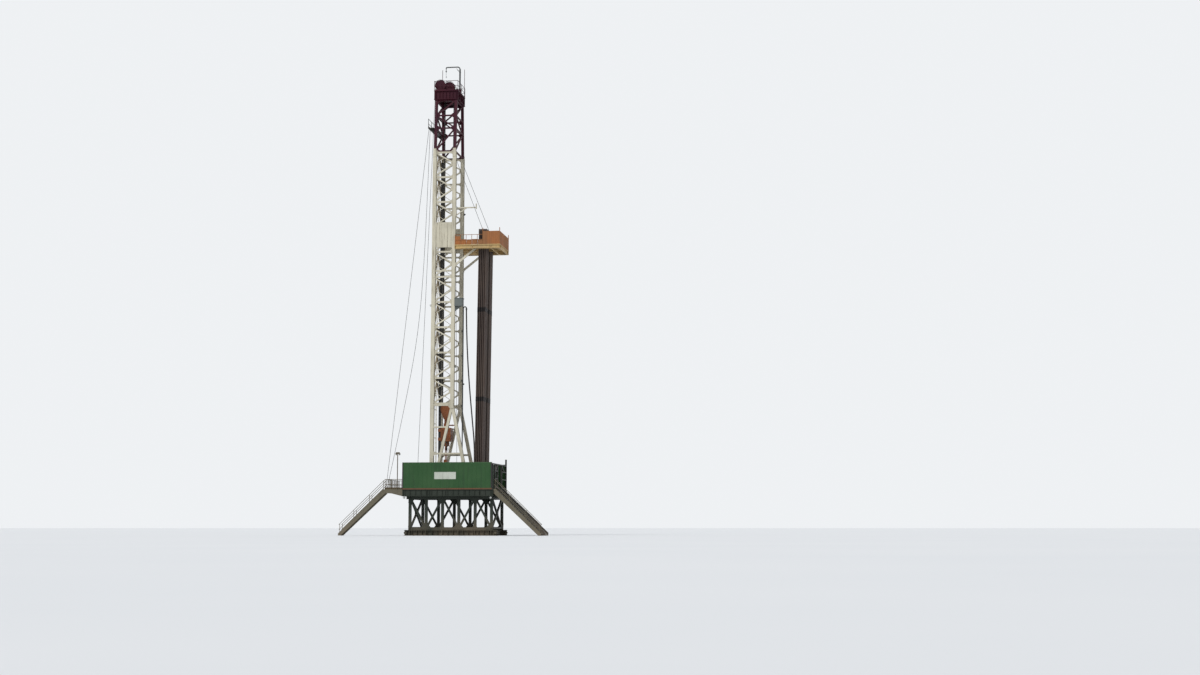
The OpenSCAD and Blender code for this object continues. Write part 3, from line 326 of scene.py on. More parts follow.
class Bag:
    def __init__(self):
        self.points, self.faces, self.along = [], [], []

    def add(self, points, faces, along=None):
        start = len(self.points)
        self.points += [tuple(p) for p in points]
        self.faces += [tuple(i + start for i in face) for face in faces]
        self.along += along or [0.0] * len(points)

    def box(self, low, high):
        x0, y0, z0 = (min(a, b) for a, b in zip(low, high))
        x1, y1, z1 = (max(a, b) for a, b in zip(low, high))
        corners = [(x, y, z) for z in (z0, z1) for x, y in ((x0, y0), (x1, y0), (x1, y1), (x0, y1))]
        sides = [(0, 1, 5, 4), (1, 2, 6, 5), (2, 3, 7, 6), (3, 0, 4, 7)]
        self.add(corners, [(3, 2, 1, 0), (4, 5, 6, 7)] + sides)

    # flat plate: an outline in the plane of u and v from an origin, thick along their normal
    def plate(self, outline, origin, u, v, thick):
        origin, u, v = Vector(origin), Vector(u), Vector(v)
        n = u.cross(v).normalized() * thick / 2
        flat = [origin + u * a + v * b for a, b in outline]
        count = len(flat)
        sides = [(i, (i + 1) % count, count + (i + 1) % count, count + i) for i in range(count)]
        self.add([p - n for p in flat] + [p + n for p in flat],
                 [tuple(reversed(range(count))), tuple(range(count, 2 * count))] + sides)

    def upright(self, outline, origin, u, thick):
        self.plate(outline, origin, u, zWay, thick)

    # round tube along a path, one radius or one for each point
    def tube(self, path, radius, sides=12):
        path = [Vector(p) for p in path]
        count = len(path)
        radii = radius if isinstance(radius, (list, tuple)) else [radius] * count
        tangents = [(path[min(i + 1, count - 1)] - path[max(i - 1, 0)]).normalized() for i in range(count)]
        side = tangents[0].orthogonal().normalized()
        rings, along, done = [], [], 0.0
        for i, point in enumerate(path):
            side = (side - tangents[i] * side.dot(tangents[i])).normalized()
            other = tangents[i].cross(side)
            done += (point - path[i - 1]).length if i else 0.0
            for k in range(sides):
                turn = 2 * math.pi * k / sides
                rings.append(point + (side * math.cos(turn) + other * math.sin(turn)) * radii[i])
                along.append(done)
        faces = []
        for low in range(0, (count - 1) * sides, sides):
            for k in range(sides):
                after = (k + 1) % sides
                faces.append((low + k, low + after, low + sides + after, low + sides + k))
        last = (count - 1) * sides
        faces += [tuple(reversed(range(sides))), tuple(range(last, last + sides))]
        self.add(rings, faces, along)

    # turned shape: radius and height pairs along an axis from a base point
    def turned(self, profile, base, axis, sides=24):
        base, axis = Vector(base), Vector(axis).normalized()
        radii, heights = zip(*straightened(profile))
        self.tube([base + axis * height for height in heights], radii, sides)

    def bar(self, start, end, radius, sides=8):
        self.tube([start, end], radius, sides)

    def bolts(self, bases, axis, size):
        for base in bases:
            self.turned([(size, 0), (size, size * 0.9), (size * 0.8, size * 1.1)], base, axis, 6)

    def piece(self, name, finish, body="root", smooth=False, slot=None):
        mesh = bpy.data.meshes.new(name)
        mesh.from_pydata(self.points, [], self.faces)
        layer = mesh.attributes.new("along", "FLOAT", "POINT")
        layer.data.foreach_set("value", self.along)
        shape = bmesh.new()
        shape.from_mesh(mesh)
        bmesh.ops.recalc_face_normals(shape, faces=shape.faces)
        shape.to_mesh(mesh)
        shape.free()
        if smooth:
            mesh.shade_smooth()
            mesh.set_sharp_from_angle(angle=math.radians(40))
        made = bpy.data.objects.new(name, mesh)
        mesh.materials.append(finishes[finish])
        bpy.context.scene.collection.objects.link(made)
        if body:
            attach(made, body)
        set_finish(made, slot or finish)
        return made


# two heights that are the same are set a hair apart, so that a step in a turned shape keeps its direction
def straightened(profile):
    out = []
    for radius, height in profile:
        if out and height <= out[-1][1]:
            height = out[-1][1] + 0.0002
        out.append((max(radius, 0.0005), height))
    return out


# a smooth curve through the same points, each slope scaled to its span
def smoothed(points, steps):
    points = [Vector(p) for p in points]
    last = len(points) - 1
    ways = [(points[min(i + 1, last)] - points[max(i - 1, 0)]).normalized() for i in range(last + 1)]
    out = []
    for i in range(last):
        a, b = points[i], points[i + 1]
        span = (b - a).length
        for k in range(steps):
            t = k / steps
            out.append(a * (2 * t ** 3 - 3 * t ** 2 + 1) + ways[i] * span * (t ** 3 - 2 * t ** 2 + t)
                       + b * (3 * t ** 2 - 2 * t ** 3) + ways[i + 1] * span * (t ** 3 - t ** 2))
    return out + [points[-1]]


def lengthOf(path):
    return sum((b - a).length for a, b in zip(path, path[1:]))


def spaced(start, end, count):
    return [start + i * (end - start) / (count - 1) for i in range(count)]


def stepped(start, pitch, count):
    return [start + i * pitch for i in range(count)]


def oblong(halfWide, halfTall):
    return [(-halfWide, -halfTall), (halfWide, -halfTall), (halfWide, halfTall), (-halfWide, halfTall)]


# outline that narrows from its foot to its top
def tapered(foot, top, depth):
    return [(-foot, 0), (foot, 0), (top, depth), (-top, depth)]


# turned band round a bar, with chamfered edges
def collar(inner, outer, edge, tall):
    return [(inner, 0), (outer, edge), (outer, tall - edge), (inner, tall)]


# point on a circle that stands across y, and the same circle lying flat
def wheel(x, y, z, radius, turn):
    return (x + radius * math.cos(turn), y, z + radius * math.sin(turn))


def flat(radius, turn, z):
    return (radius * math.cos(turn), radius * math.sin(turn), z)


def turns(count, start=0.0):
    return [start + 2 * math.pi * k / count for k in range(count)]


# the rotary hose and the slack line, which hang free

hose = {
    "radius": 0.036, "steps": 6, "sides": 20,
    "route": [  # along, across, above the floor
        (0.900, 0.800, 10.060), (0.900, 0.800, 9.960), (0.906, 0.793, 9.700), (0.930, 0.765, 9.000),
        (0.985, 0.690, 8.000), (1.075, 0.560, 6.900), (1.190, 0.410, 5.800), (1.320, 0.270, 4.700),
        (1.440, 0.160, 3.700), (1.530, 0.090, 2.900), (1.578, 0.045, 2.250), (1.590, 0.020, 1.850),
        (1.590, 0.005, 1.550), (1.577, 0.000, 1.410), (1.539, -0.004, 1.293), (1.475, -0.008, 1.197),
        (1.391, -0.011, 1.134), (1.299, -0.013, 1.105), (1.202, -0.014, 1.105), (1.110, -0.015, 1.134),
        (1.026, -0.015, 1.197), (0.962, -0.014, 1.293), (0.918, -0.012, 1.430), (0.885, -0.010, 1.650),
        (0.820, -0.005, 2.150), (0.735, 0.000, 2.620), (0.665, 0.000, 2.960), (0.618, 0.000, 3.200),
        (0.600, 0.000, 3.366), (0.600, 0.000, 3.466),
    ],
}


def hangHose():
    route = [(x, y, z + floorZ) for x, y, z in hose["route"]]
    path = smoothed(route, hose["steps"])
    bag = Bag()
    bag.tube(path, hose["radius"], hose["sides"])
    made = bag.piece("rotaryHose", "hose_rubber", body=None, smooth=True)
    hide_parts("rotary_hose")
    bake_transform(made)
    round(lengthOf(path), 3)
    return lengthOf(path)


slackLine = {
    "radius": 0.010, "steps": 3, "sides": 10,
    "top": 20.0685,  # above the floor, under the crown platform
    "yTop": -0.760, "yFoot": -1.380, "straight": 0.1,
    "route": [  # along, above the floor
        (-0.930, 20.0685), (-0.930, 19.9685), (-0.965, 18.4), (-1.010, 16.5), (-1.065, 14.5),
        (-1.137, 12.5), (-1.246, 10.5), (-1.372, 9.0), (-1.514, 7.8), (-1.679, 6.7), (-1.868, 5.6),
        (-2.069, 4.5), (-2.278, 3.4), (-2.493, 2.3), (-2.709, 1.2), (-2.870, 0.4), (-2.930, 0.1),
        (-2.930, 0.0003),
    ],
}


def hangSlackLine():
    route = []
    foot, straight = slackLine["yFoot"], slackLine["straight"]
    for x, up in slackLine["route"]:
        share = min(1, max(0, (up - straight) / (slackLine["top"] - 2 * straight)))
        route.append((x, foot + (slackLine["yTop"] - foot) * share, up + floorZ))
    bag = Bag()
    path = smoothed(route, slackLine["steps"])
    bag.tube(path, slackLine["radius"], slackLine["sides"])
    made = bag.piece("slackLine", "wire_rope", smooth=True)
    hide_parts("slack_line")
    round(lengthOf(path), 3)
    return lengthOf(path)


hoseLength, slackLength = hangHose(), hangSlackLine()
print("hose", round(hoseLength, 2), "m, slack line", round(slackLength, 2), "m")


# lines between crown and block, drawn at one height of the block

reeving = {
    "count": 4, "pitch": 0.090, "radius": 0.010,
    "low": (0.2363, 6.93), "high": (0.2763, 25.14),  # half spread and height at each end
    "travel": 14.5,
}


def reeveLines():
    bag = Bag()
    pitch = reeving["pitch"]
    (xLow, zLow), (xHigh, zHigh) = reeving["low"], reeving["high"]
    for i in range(reeving["count"]):
        y = (i - (reeving["count"] - 1) / 2) * pitch
        for side in (-1, 1):
            top = (side * xHigh, y - side * pitch / 2, zHigh)
            bag.bar((side * xLow, y, zLow), top, reeving["radius"])
    made = bag.piece("drillingLines", "wire_rope", smooth=True)
    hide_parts("drilling_lines")
    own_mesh(made)


# stands of drill pipe: thicker at the tool joints and at both ends

pipe = {
    "bankX": 1.8088, "bankY": 0.175, "pitch": 0.097, "rows": 5, "columns": 8, "sides": 12,
    "foot": 2.5506, "length": 14.3, "lean": math.atan2(0.150, 13.430),
    "body": 0.032, "joint": 0.040, "upset": 1.16, "joints": (4.88, 9.81),
    "bandFrom": -0.138, "bandTo": 0.118, "bandOut": 0.0004,
}


def pipeProfile():
    body, joint, length = pipe["body"], pipe["joint"], pipe["length"]
    upset = body * pipe["upset"]
    profile = [(joint * 0.86, 0.0), (joint, 0.012), (joint, 0.26), (body, 0.30)]
    for height in pipe["joints"]:  # mid joints of a three-pipe stand
        steps = ((body, -0.17), (upset, -0.14), (upset, -0.004), (body * 1.08, 0), (upset, 0.004),
                 (upset, 0.12), (body, 0.15))
        profile += [(radius, height + rise) for radius, rise in steps]
    top = ((body, 0.30), (joint, 0.27), (joint, 0.02), (joint * 0.9, 0.006), (joint * 0.62, 0.005),
           (joint * 0.58, 0.12))
    return profile + [(radius, length - drop) for radius, drop in top]


def rackPipe(side, name):
    bag, bands = Bag(), Bag()  # the scrubbed joints show as dark bands
    lean = Vector((math.sin(pipe["lean"]), 0, math.cos(pipe["lean"])))
    radius = pipe["body"] * pipe["upset"] + pipe["bandOut"]
    for row in range(pipe["rows"]):
        for column in range(pipe["columns"]):
            y = side * (pipe["bankY"] + (column + 0.5) * pipe["pitch"])
            foot = Vector((pipe["bankX"] + row * pipe["pitch"], y, pipe["foot"]))
            start = len(bag.points)
            bag.turned(pipeProfile(), foot, lean, pipe["sides"])
            for i in range(start, start + pipe["sides"]):  # the foot stands flat on the mat
                bag.points[i] = (*bag.points[i][:2], pipe["foot"])
            for height in pipe["joints"]:
                ends = [foot + lean * (height + pipe[end]) for end in ("bandFrom", "bandTo")]
                bands.tube(ends, radius, pipe["sides"])
    made = bag.piece("rackedPipe" + name.capitalize(), "pipe_steel", smooth=True)
    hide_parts("racked_pipe_" + name)
    bands.piece("jointBands" + name.capitalize(), "joint_steel", smooth=True, slot="pipe_steel")


reeveLines()
rackPipe(-1, "near")
rackPipe(1, "far")
print("lines and racked pipe made")


# mast: gussets where the bars meet, light struts that halve each bay, splice plates on the legs

mastTrim = {
    "gusset": 0.150, "thick": 0.010, "strut": 0.017, "bolt": 0.010, "bays": 10, "meet": 0.52,
    "latticeFace": 0.0403, "flangeFace": 0.1004, "panelZone": (15.75, 17.35),
    "splices": (7.14, 14.38, 21.18), "splice": (0.085, 0.24), "spliceThick": 0.012, "spliceBolt": 0.013,
    "spliceRows": (-0.19, -0.11, -0.03, 0.05, 0.13, 0.21), "girtFrom": 0.046, "girtGain": 0.0092,
    "strutShares": (0.26, 0.76), "rearStrut": (0.47, 0.90),
    "fullBolts": [(0.035, -0.10), (0.035, 0.10), (0.035, 0.0), (0.11, -0.03), (0.11, 0.03)],
    "middleBolts": [(-0.09, -0.03), (0.09, -0.03), (0, 0.03)],
}


def girtHeight(i):
    return mastFoot + mastTrim["girtFrom"] + i * (bayHeight - mastTrim["girtGain"])


def clearOfPanel(z):
    low, high = mastTrim["panelZone"]
    return not low < z < high


def addGusset(bag, corner, inward, outward, full=True):
    size, thick = mastTrim["gusset"], mastTrim["thick"]
    inward, outward = Vector(inward), Vector(outward)
    near, far, tall = size * 0.55, size * 1.25, size * 0.35
    half = [(0, -size), (near, -size), (far, -tall), (far, tall), (near, size), (0, size)]
    low, high = size * 0.4, size * 0.5
    middle = [(-size, -low), (size, -low), (size * 0.6, high), (-size * 0.6, high)]
    origin = Vector(corner) + outward * (thick / 2)
    bag.upright(half if full else middle, origin, inward, thick)
    face = origin + outward * (thick / 2)
    spots = mastTrim["fullBolts" if full else "middleBolts"]
    bag.bolts([face + inward * a + Vector((0, 0, b)) for a, b in spots], outward, mastTrim["bolt"])


def trimMastSide(side, name):
    bag = Bag()
    face = side * (legY + mastTrim["latticeFace"])
    inside = side * (legY + 0.02)
    out = (0, side, 0)
    for i in range(mastTrim["bays"] + 1):
        if clearOfPanel(girtHeight(i)):
            for end in (-1, 1):
                addGusset(bag, (end * (legX - 0.010), face, girtHeight(i)), (-end, 0, 0), out)
    for i in range(mastTrim["bays"]):
        low = mastFoot + i * bayHeight
        joint = low + mastTrim["meet"] * bayHeight
        if clearOfPanel(joint):
            addGusset(bag, (legX - 0.010, face, joint), (-1, 0, 0), out)
            for share in mastTrim["strutShares"]:
                start = (0.0, inside, low + share * bayHeight)
                bag.bar(start, (-legX + 0.03, inside, joint), mastTrim["strut"], 4)
    bag.piece("sideTrim" + name, "mast_cream")
    bag = Bag()
    flange, thick = side * (legY + mastTrim["flangeFace"]), mastTrim["spliceThick"]
    for x in (-legX, legX):
        for z in mastTrim["splices"]:
            bag.upright(oblong(*mastTrim["splice"]), (x, flange + side * thick / 2, z), xWay, thick)
            places = [(x + across, flange + side * thick, z + up)
                      for across in (-0.055, 0.055) for up in mastTrim["spliceRows"]]
            bag.bolts(places, out, mastTrim["spliceBolt"])
    bag.piece("legSplices" + name, "mast_cream")


def trimMastRear():
    bag = Bag()
    face = -legX - mastTrim["latticeFace"]
    for i in range(mastTrim["bays"] + 1):
        z = girtHeight(i)
        for side in (-1, 1):
            addGusset(bag, (face, side * (legY - 0.105), z), (0, -side, 0), (-1, 0, 0))
        if i:
            addGusset(bag, (face, 0, z - 0.02), (0, 1, 0), (-1, 0, 0), full=False)
    for i in range(mastTrim["bays"]):
        x, z = -legX - 0.02, mastFoot + (i + 0.5) * bayHeight
        for side in (-1, 1):
            inner, outer = mastTrim["rearStrut"]
            bag.bar((x, side * inner, z), (x, side * outer, z), mastTrim["strut"], 4)
    # the rear trim takes the darker cream, which is painted shade
    bag.piece("rearTrim", "mast_rust_and_painted_shade", slot="mast_cream")


# A-shaped foot of the mast: pin joints at the shoes and stiffeners up the legs
mastFeet = {
    "pin": 0.055, "shoes": (-0.555, 1.49), "cheekZ": 2.575, "cheekOut": 0.112, "cheek": 0.022,
    "shape": [(-0.12, -0.02), (0.12, -0.02), (0.10, 0.13), (0.04, 0.20), (-0.04, 0.20), (-0.10, 0.13)],
    "stiffeners": (3.1, 0.68, 6), "skin": 0.0825,  # from, pitch and count
    "pinZ": 2.66, "pinLength": 0.304, "shoeTop": 2.571, "bolt": 0.016, "bolts": (0.155, 0.13),
    "gussets": ((-1, 4.44), (1, 7.05)),  # leg, height
}


def trimMastFeet():
    bag = Bag()
    for side in (-1, 1):
        y = side * legY
        for x in mastFeet["shoes"]:
            for turn in (-1, 1):
                place = (x, y + turn * mastFeet["cheekOut"], mastFeet["cheekZ"])
                bag.upright(mastFeet["shape"], place, xWay, mastFeet["cheek"])
            long = mastFeet["pinLength"]
            pin = collar(0.030, mastFeet["pin"], 0.004, long)
            bag.turned(pin, (x, y - long / 2, mastFeet["pinZ"]), yWay, 20)
            across, deep = mastFeet["bolts"]
            corners = [(x + dx, y + dy) for dx in (-across, across) for dy in (-deep, deep)]
            bag.bolts([(*corner, mastFeet["shoeTop"]) for corner in corners], zWay, mastFeet["bolt"])
        for z in stepped(*mastFeet["stiffeners"]):
            bag.box((-legX - 0.088, y - 0.09, z), (-legX - 0.012, y + 0.09, z + 0.012))
        skin = side * (legY + mastFeet["skin"])
        for end, z in mastFeet["gussets"]:
            addGusset(bag, (end * (legX - 0.01), skin, z), (-end, 0, 0), (0, side, 0))
    bag.piece("mastFeetTrim", "mast_cream")


# work lamps: a stepped housing with a pale glass, on a short stalk
lamps = {
    "radius": 0.062, "depth": 0.070, "stalk": 0.010, "sides": 20,
    "shell": [(0.35, -1), (0.62, -0.8), (0.7, -0.3), (1, 0), (1.06, 0.28), (0.98, 0.3)],
    "glass": [(0.94, 0), (0.9, 0.22), (0.5, 0.36), (0.05, 0.4)],
    "places": [  # where, aimed at
        ((0.690, -1.07, 18.05), (0.5, -0.5, -0.6)), ((0.690, 1.07, 18.05), (0.5, 0.5, -0.6)),
        ((-0.700, -1.05, 12.6), (-0.4, -0.7, -0.6)), ((-0.700, 1.05, 12.6), (-0.4, 0.7, -0.6)),
        ((0.720, -1.00, 9.2), (0.6, -0.4, -0.6)), ((0.720, 1.02, 8.4), (0.6, 0.4, -0.6)),
        ((-1.860, -1.86, 2.04), (-0.1, -1.0, -0.4)), ((2.900, -1.86, 2.04), (0.1, -1.0, -0.4)),
        ((-1.860, 1.86, 2.04), (-0.1, 1.0, -0.4)), ((2.900, 1.86, 2.04), (0.1, 1.0, -0.4)),
        ((0.560, -0.90, 24.86), (0.3, -0.8, -0.5)), ((0.560, 0.70, 24.86), (0.3, 0.8, -0.5)),
    ],
}


def addLamp(shell, glass, place, aim):
    place, aim = Vector(place), Vector(aim).normalized()
    r, d = lamps["radius"], lamps["depth"]
    for bag, shape, start in ((shell, "shell", place), (glass, "glass", place + aim * (d * 0.14))):
        bag.turned([(r * wide, d * deep) for wide, deep in lamps[shape]], start, aim, lamps["sides"])
    shell.bar(place - aim * (d * 0.9), place - aim * d + Vector((0, 0, -0.06)), lamps["stalk"])


def addLamps():
    shell, glass = Bag(), Bag()
    for place, aim in lamps["places"]:
        addLamp(shell, glass, place, aim)
    shell.piece("lampHousings", "worn_steel", smooth=True)
    glass.piece("lampGlasses", "lamp_glass", smooth=True, slot="worn_steel")


trimMastSide(-1, "Near")
trimMastSide(1, "Far")
trimMastRear()
trimMastFeet()
addLamps()
print("mast trim made")


# drill floor: ribbed wind walls with cap tubes and sills, and the bare plate on the near wall

walls = {
    "outer": 2.0, "low": 2.5003, "high": 3.9, "from": -1.95, "to": 2.99, "ribPitch": 0.247, "rib": 0.060,
    "ribDepth": 0.009, "ribZ": 3.2, "ribTall": 1.24, "capZ": 3.912, "cap": 0.024, "sillZ": 2.4702,
    "plate": ((-0.17, 3.03), (1.01, 3.40)), "post": 0.060, "fixings": 21, "fixingRows": (2.56, 3.855),
    "fixing": 0.008, "sill": ((0.006, 2.545), (0.013, 2.482)),  # how far out, up to what height
    "postBolts": (2.62, 0.152, 9), "postBolt": 0.007,  # from, pitch and count
    "plateThick": 0.004, "plateEdge": 0.009, "plateBolt": 0.005, "plateInset": 0.05,
    "rearRuns": ((-1.87, -1.45), (-0.85, 1.87)),  # each side of the rear doorway
    "rearFace": -1.95, "jambX": -1.962, "jamb": 0.014,
}


def dressWall(side, name):
    bag = Bag()
    y, low, high = side * walls["outer"], walls["from"], walls["to"]
    half = walls["rib"] / 2
    shape = tapered(half, half * 0.55, side * walls["ribDepth"])
    for i in range(int((high - low) / walls["ribPitch"])):
        place = (low + walls["ribPitch"] * (i + 0.5), y, walls["ribZ"])
        bag.plate(shape, place, xWay, yWay, walls["ribTall"])
    columns = spaced(low + 0.06, high - 0.06, walls["fixings"])
    places = [(x, y, z) for x in columns for z in walls["fixingRows"]]
    bag.bolts(places, (0, side, 0), walls["fixing"])
    cap = y - side * 0.02
    bag.bar((low, cap, walls["capZ"]), (high, cap, walls["capZ"]), walls["cap"], 12)
    bag.piece("wallRibs" + name, "wall_green")
    sill = Bag()
    for out, top in walls["sill"]:
        sill.box((low, y, walls["sillZ"]), (high, y + side * out, top))
    sill.piece("wallSill" + name, "sill_brown", slot="wall_green")
    posts = Bag()
    out = y + side * 0.0125
    for x in (low - 0.0005, high - 0.0595):
        corner = (x + walls["post"], out, walls["high"] + 0.010)
        posts.box((x, y - side * 0.0005, walls["low"] + 0.045), corner)
        places = [(x + walls["post"] / 2, out, z) for z in stepped(*walls["postBolts"])]
        posts.bolts(places, (0, side, 0), walls["postBolt"])
    posts.piece("wallCornerPosts" + name, "black_paint")


def addBarePlate():
    (x0, z0), (x1, z1) = walls["plate"]
    bag = Bag()
    y = -walls["outer"]
    wide, tall, inset = x1 - x0, z1 - z0, walls["plateInset"]
    outline = [(0, 0), (wide, 0), (wide, tall), (0, tall)]
    bag.upright(outline, (x0, y - 0.0115, z0), xWay, walls["plateThick"])
    corners = [(x0, y - 0.012, z0), (x1, y - 0.012, z0), (x1, y - 0.012, z1), (x0, y - 0.012, z1)]
    for i, corner in enumerate(corners):
        bag.bar(corner, corners[(i + 1) % 4], walls["plateEdge"], 6)
    columns, rows = (x0 + inset, (x0 + x1) / 2, x1 - inset), (z0 + inset, z1 - inset)
    bag.bolts([(x, y - 0.013, z) for x in columns for z in rows], (0, -1, 0), walls["plateBolt"])
    bag.piece("barePlate", "sign_white", slot="wall_green")


def dressRearWall():
    bag = Bag()
    runs = walls["rearRuns"]
    for y0, y1 in runs:
        count = max(1, int((y1 - y0) / walls["ribPitch"]))
        for i in range(count):
            place = (walls["rearFace"], y0 + (y1 - y0) * (i + 0.5) / count, walls["ribZ"])
            bag.plate(tapered(0.03, 0.0165, -walls["ribDepth"]), place, yWay, xWay, walls["ribTall"])
        x = walls["rearFace"] + 0.02
        bag.bar((x, y0, walls["capZ"]), (x, y1, walls["capZ"]), walls["cap"], 12)
    x = walls["jambX"]
    for y in (runs[0][1], runs[1][0]):
        bag.bar((x, y, 2.52), (x, y, walls["high"]), walls["jamb"])
    bag.piece("rearWallRibs", "wall_green")


# floor edge: stiffeners in the beam webs, and lines of bolts on the flanges
floorEdge = {
    "sideY": 1.897, "low": 2.14, "high": 2.44, "boltY": 1.999, "boltZ": 2.457, "bolt": 0.007,
    "webs": (-1.80, 0.295, 17),  # from, pitch and count
    "endWebs": (-1.83, 0.333, 12), "bolts": (-1.88, 0.146, 34),
}


def dressFloorEdge():
    bag = Bag()
    low, high = floorEdge["low"], floorEdge["high"]
    for side in (-1, 1):
        y = side * floorEdge["sideY"]
        for x in stepped(*floorEdge["webs"]):
            bag.box((x - 0.006, y, low), (x + 0.006, y + side * 0.095, high))
        places = [(x, side * floorEdge["boltY"], floorEdge["boltZ"]) for x in stepped(*floorEdge["bolts"])]
        bag.bolts(places, (0, side, 0), floorEdge["bolt"])
    for x, out in ((-1.95, -1), (3.05, 1)):
        for y in stepped(*floorEdge["endWebs"]):
            bag.box((x - out * 0.052, y - 0.006, low), (x - out * 0.003, y + 0.006, high))
    bag.piece("floorEdgeTrim", "dark_green_paint")


# raised tread pattern on the walked part of the deck, studs and bars on the setback mats
deckTread = {
    "from": -1.80, "pitch": 0.150, "size": 0.034, "height": 0.004, "along": 32, "across": 25,
    "slim": 0.007, "matX": (1.70, 2.34), "studs": (1.72, 0.086, 8), "studY": (0.135, 0.991), "stud": 0.009,
    "matTop": 2.5505, "matBars": (0.20, 0.12, 7), "matBar": 0.004,
    "rotary": 0.42, "mats": (1.60, 2.44, 0.08, 1.10), "drawworks": (-0.80, 0.80),  # left without tread
}


def underEquipment(x, y):
    low, high, inner, outer = deckTread["mats"]
    edge, half = deckTread["drawworks"]
    rotaryHere = max(abs(x), abs(y)) < deckTread["rotary"]
    matHere = low < x < high and inner < abs(y) < outer
    return rotaryHere or matHere or (x < edge and abs(y) < half)


def dressDeck():
    bag = Bag()
    step, half, slim, first = (deckTread[key] for key in ("pitch", "size", "slim", "from"))
    top = Vector((0, 0, deckTread["height"]))
    for i in range(deckTread["along"]):
        for j in range(deckTread["across"]):
            x, y = first + i * step, first + j * step
            if underEquipment(x, y):
                continue
            turn = 1 if (i + j) % 2 else -1
            a, b = Vector((half, turn * half, 0)), Vector((-turn * slim, slim, 0))
            low = Vector((x, y, floorZ + 0.0002))
            foot = [low - a, low + b, low + a, low - b]
            crest = [low - a * 0.8, low + b * 0.6, low + a * 0.8, low - b * 0.6]
            bag.add(foot + [point + top for point in crest],
                    [(4, 5, 6, 7), (0, 1, 5, 4), (1, 2, 6, 5), (2, 3, 7, 6), (3, 0, 4, 7)])
    bag.piece("deckTread", "deck_steel")
    bag = Bag()
    for side in (-1, 1):
        mat, (x0, x1) = deckTread["matTop"], deckTread["matX"]
        places = [(x, side * y, mat) for x in stepped(*deckTread["studs"]) for y in deckTread["studY"]]
        bag.bolts(places, zWay, deckTread["stud"])
        z = mat + 0.002
        for y in stepped(*deckTread["matBars"]):
            bag.bar((x0, side * y, z), (x1, side * y, z), deckTread["matBar"], 4)
    bag.piece("matStuds", "worn_steel")


dressWall(-1, "Near")
dressWall(1, "Far")
addBarePlate()
dressRearWall()
dressFloorEdge()
dressDeck()
print("drill floor dressed")


# racking board: gratings, low panels, ribbed wind boards, latches on the fingers

board = {
    "from": 0.6553, "end": 3.2, "halfWidth": 1.3, "walk": 0.33, "endDeck": 2.64, "openTo": 2.24,
    "plank": (0.856, 2.69, 0.13), "wallTop": 16.63, "barPitch": 0.042, "bar": 0.007,
    "fingerFrom": 1.4253, "fingerPitch": 0.097, "fingers": 12, "latchFrom": 0.2235, "latches": 8,
    "rib": (0.022, 0.012), "rails": (16.16, 16.40), "railY": 0.958, "topTube": 0.018,
    "firstPanel": 16.40, "panelTop": 16.20, "sideRibs": (0.055, 0.104, 9), "endRibs": 24,
    "legFace": 0.664, "fixingRows": (15.78, 15.86), "fixingY": (1.235, 1.265, 1.01, 1.04),
    "braceFace": 0.676, "braceRows": (14.79, 0.045, 4),
}


def grate(bag, low, high, z, pitch, bar, alongX=True):
    (x0, y0), (x1, y1) = low, high
    start, end = (x0, x1) if alongX else (y0, y1)
    count = int((end - start) / pitch)
    for i in range(count):
        at = start + (i + 0.5) * (end - start) / count
        if alongX:  # bars run across, set out along x
            bag.box((at - bar / 2, y0, z), (at + bar / 2, y1, z + bar))
        else:
            bag.box((x0, at - bar / 2, z), (x1, at + bar / 2, z + bar))


def boardGratings():
    bag = Bag()
    z, w, start = boardZ + 0.0004, board["halfWidth"], board["from"]
    end, pitch, bar = board["end"] - 0.04, board["barPitch"], board["bar"]
    inner = w - board["walk"]
    for side in (-1, 1):
        y0, y1 = sorted((side * inner, side * (w - 0.035)))
        grate(bag, (start + 0.01, y0), (end, y1), z, pitch, bar)
        for y in (side * (inner + 0.012), side * (w - 0.17)):
            bag.box((start, y - 0.004, z), (end, y + 0.004, z + bar * 0.9))
    grate(bag, (board["endDeck"], -inner), (end, inner), z, pitch, bar)
    x0, x1, half = board["plank"]
    grate(bag, (x0, -half), (x1 - 0.05, half), z - 0.03, pitch, bar)
    bag.piece("boardGratings", "board_sand", slot="board_orange")


def boardPanels():
    bag = Bag()
    start = board["from"] + 0.02
    posts = spaced(start, board["openTo"], 6)
    for side in (-1, 1):
        y = side * (board["halfWidth"] - 0.036)
        for i, (a, b) in enumerate(zip(posts, posts[1:])):
            top = board["firstPanel"] if i == 0 else board["panelTop"] + 0.02 * (i % 2)
            bag.box((a + 0.018, y - 0.004, boardZ + 0.012), (b - 0.018, y + 0.004, top))
            for x in (a + 0.05, (a + b) / 2, b - 0.05):  # pressed ribs
                place = (x, y + side * 0.004, (boardZ + top) / 2)
                bag.plate(tapered(0.016, 0.008, side * 0.008), place, xWay, yWay, top - boardZ - 0.05)
            bag.bar((a + 0.018, y, top), (b - 0.018, y, top), 0.009)
            for x in (a + 0.012, b - 0.012):
                for z in (boardZ + 0.06, top - 0.04):
                    bag.bar((x, y - side * 0.004, z), (x, y + side * 0.020, z), 0.010)
    bag.piece("boardPanels", "board_orange")


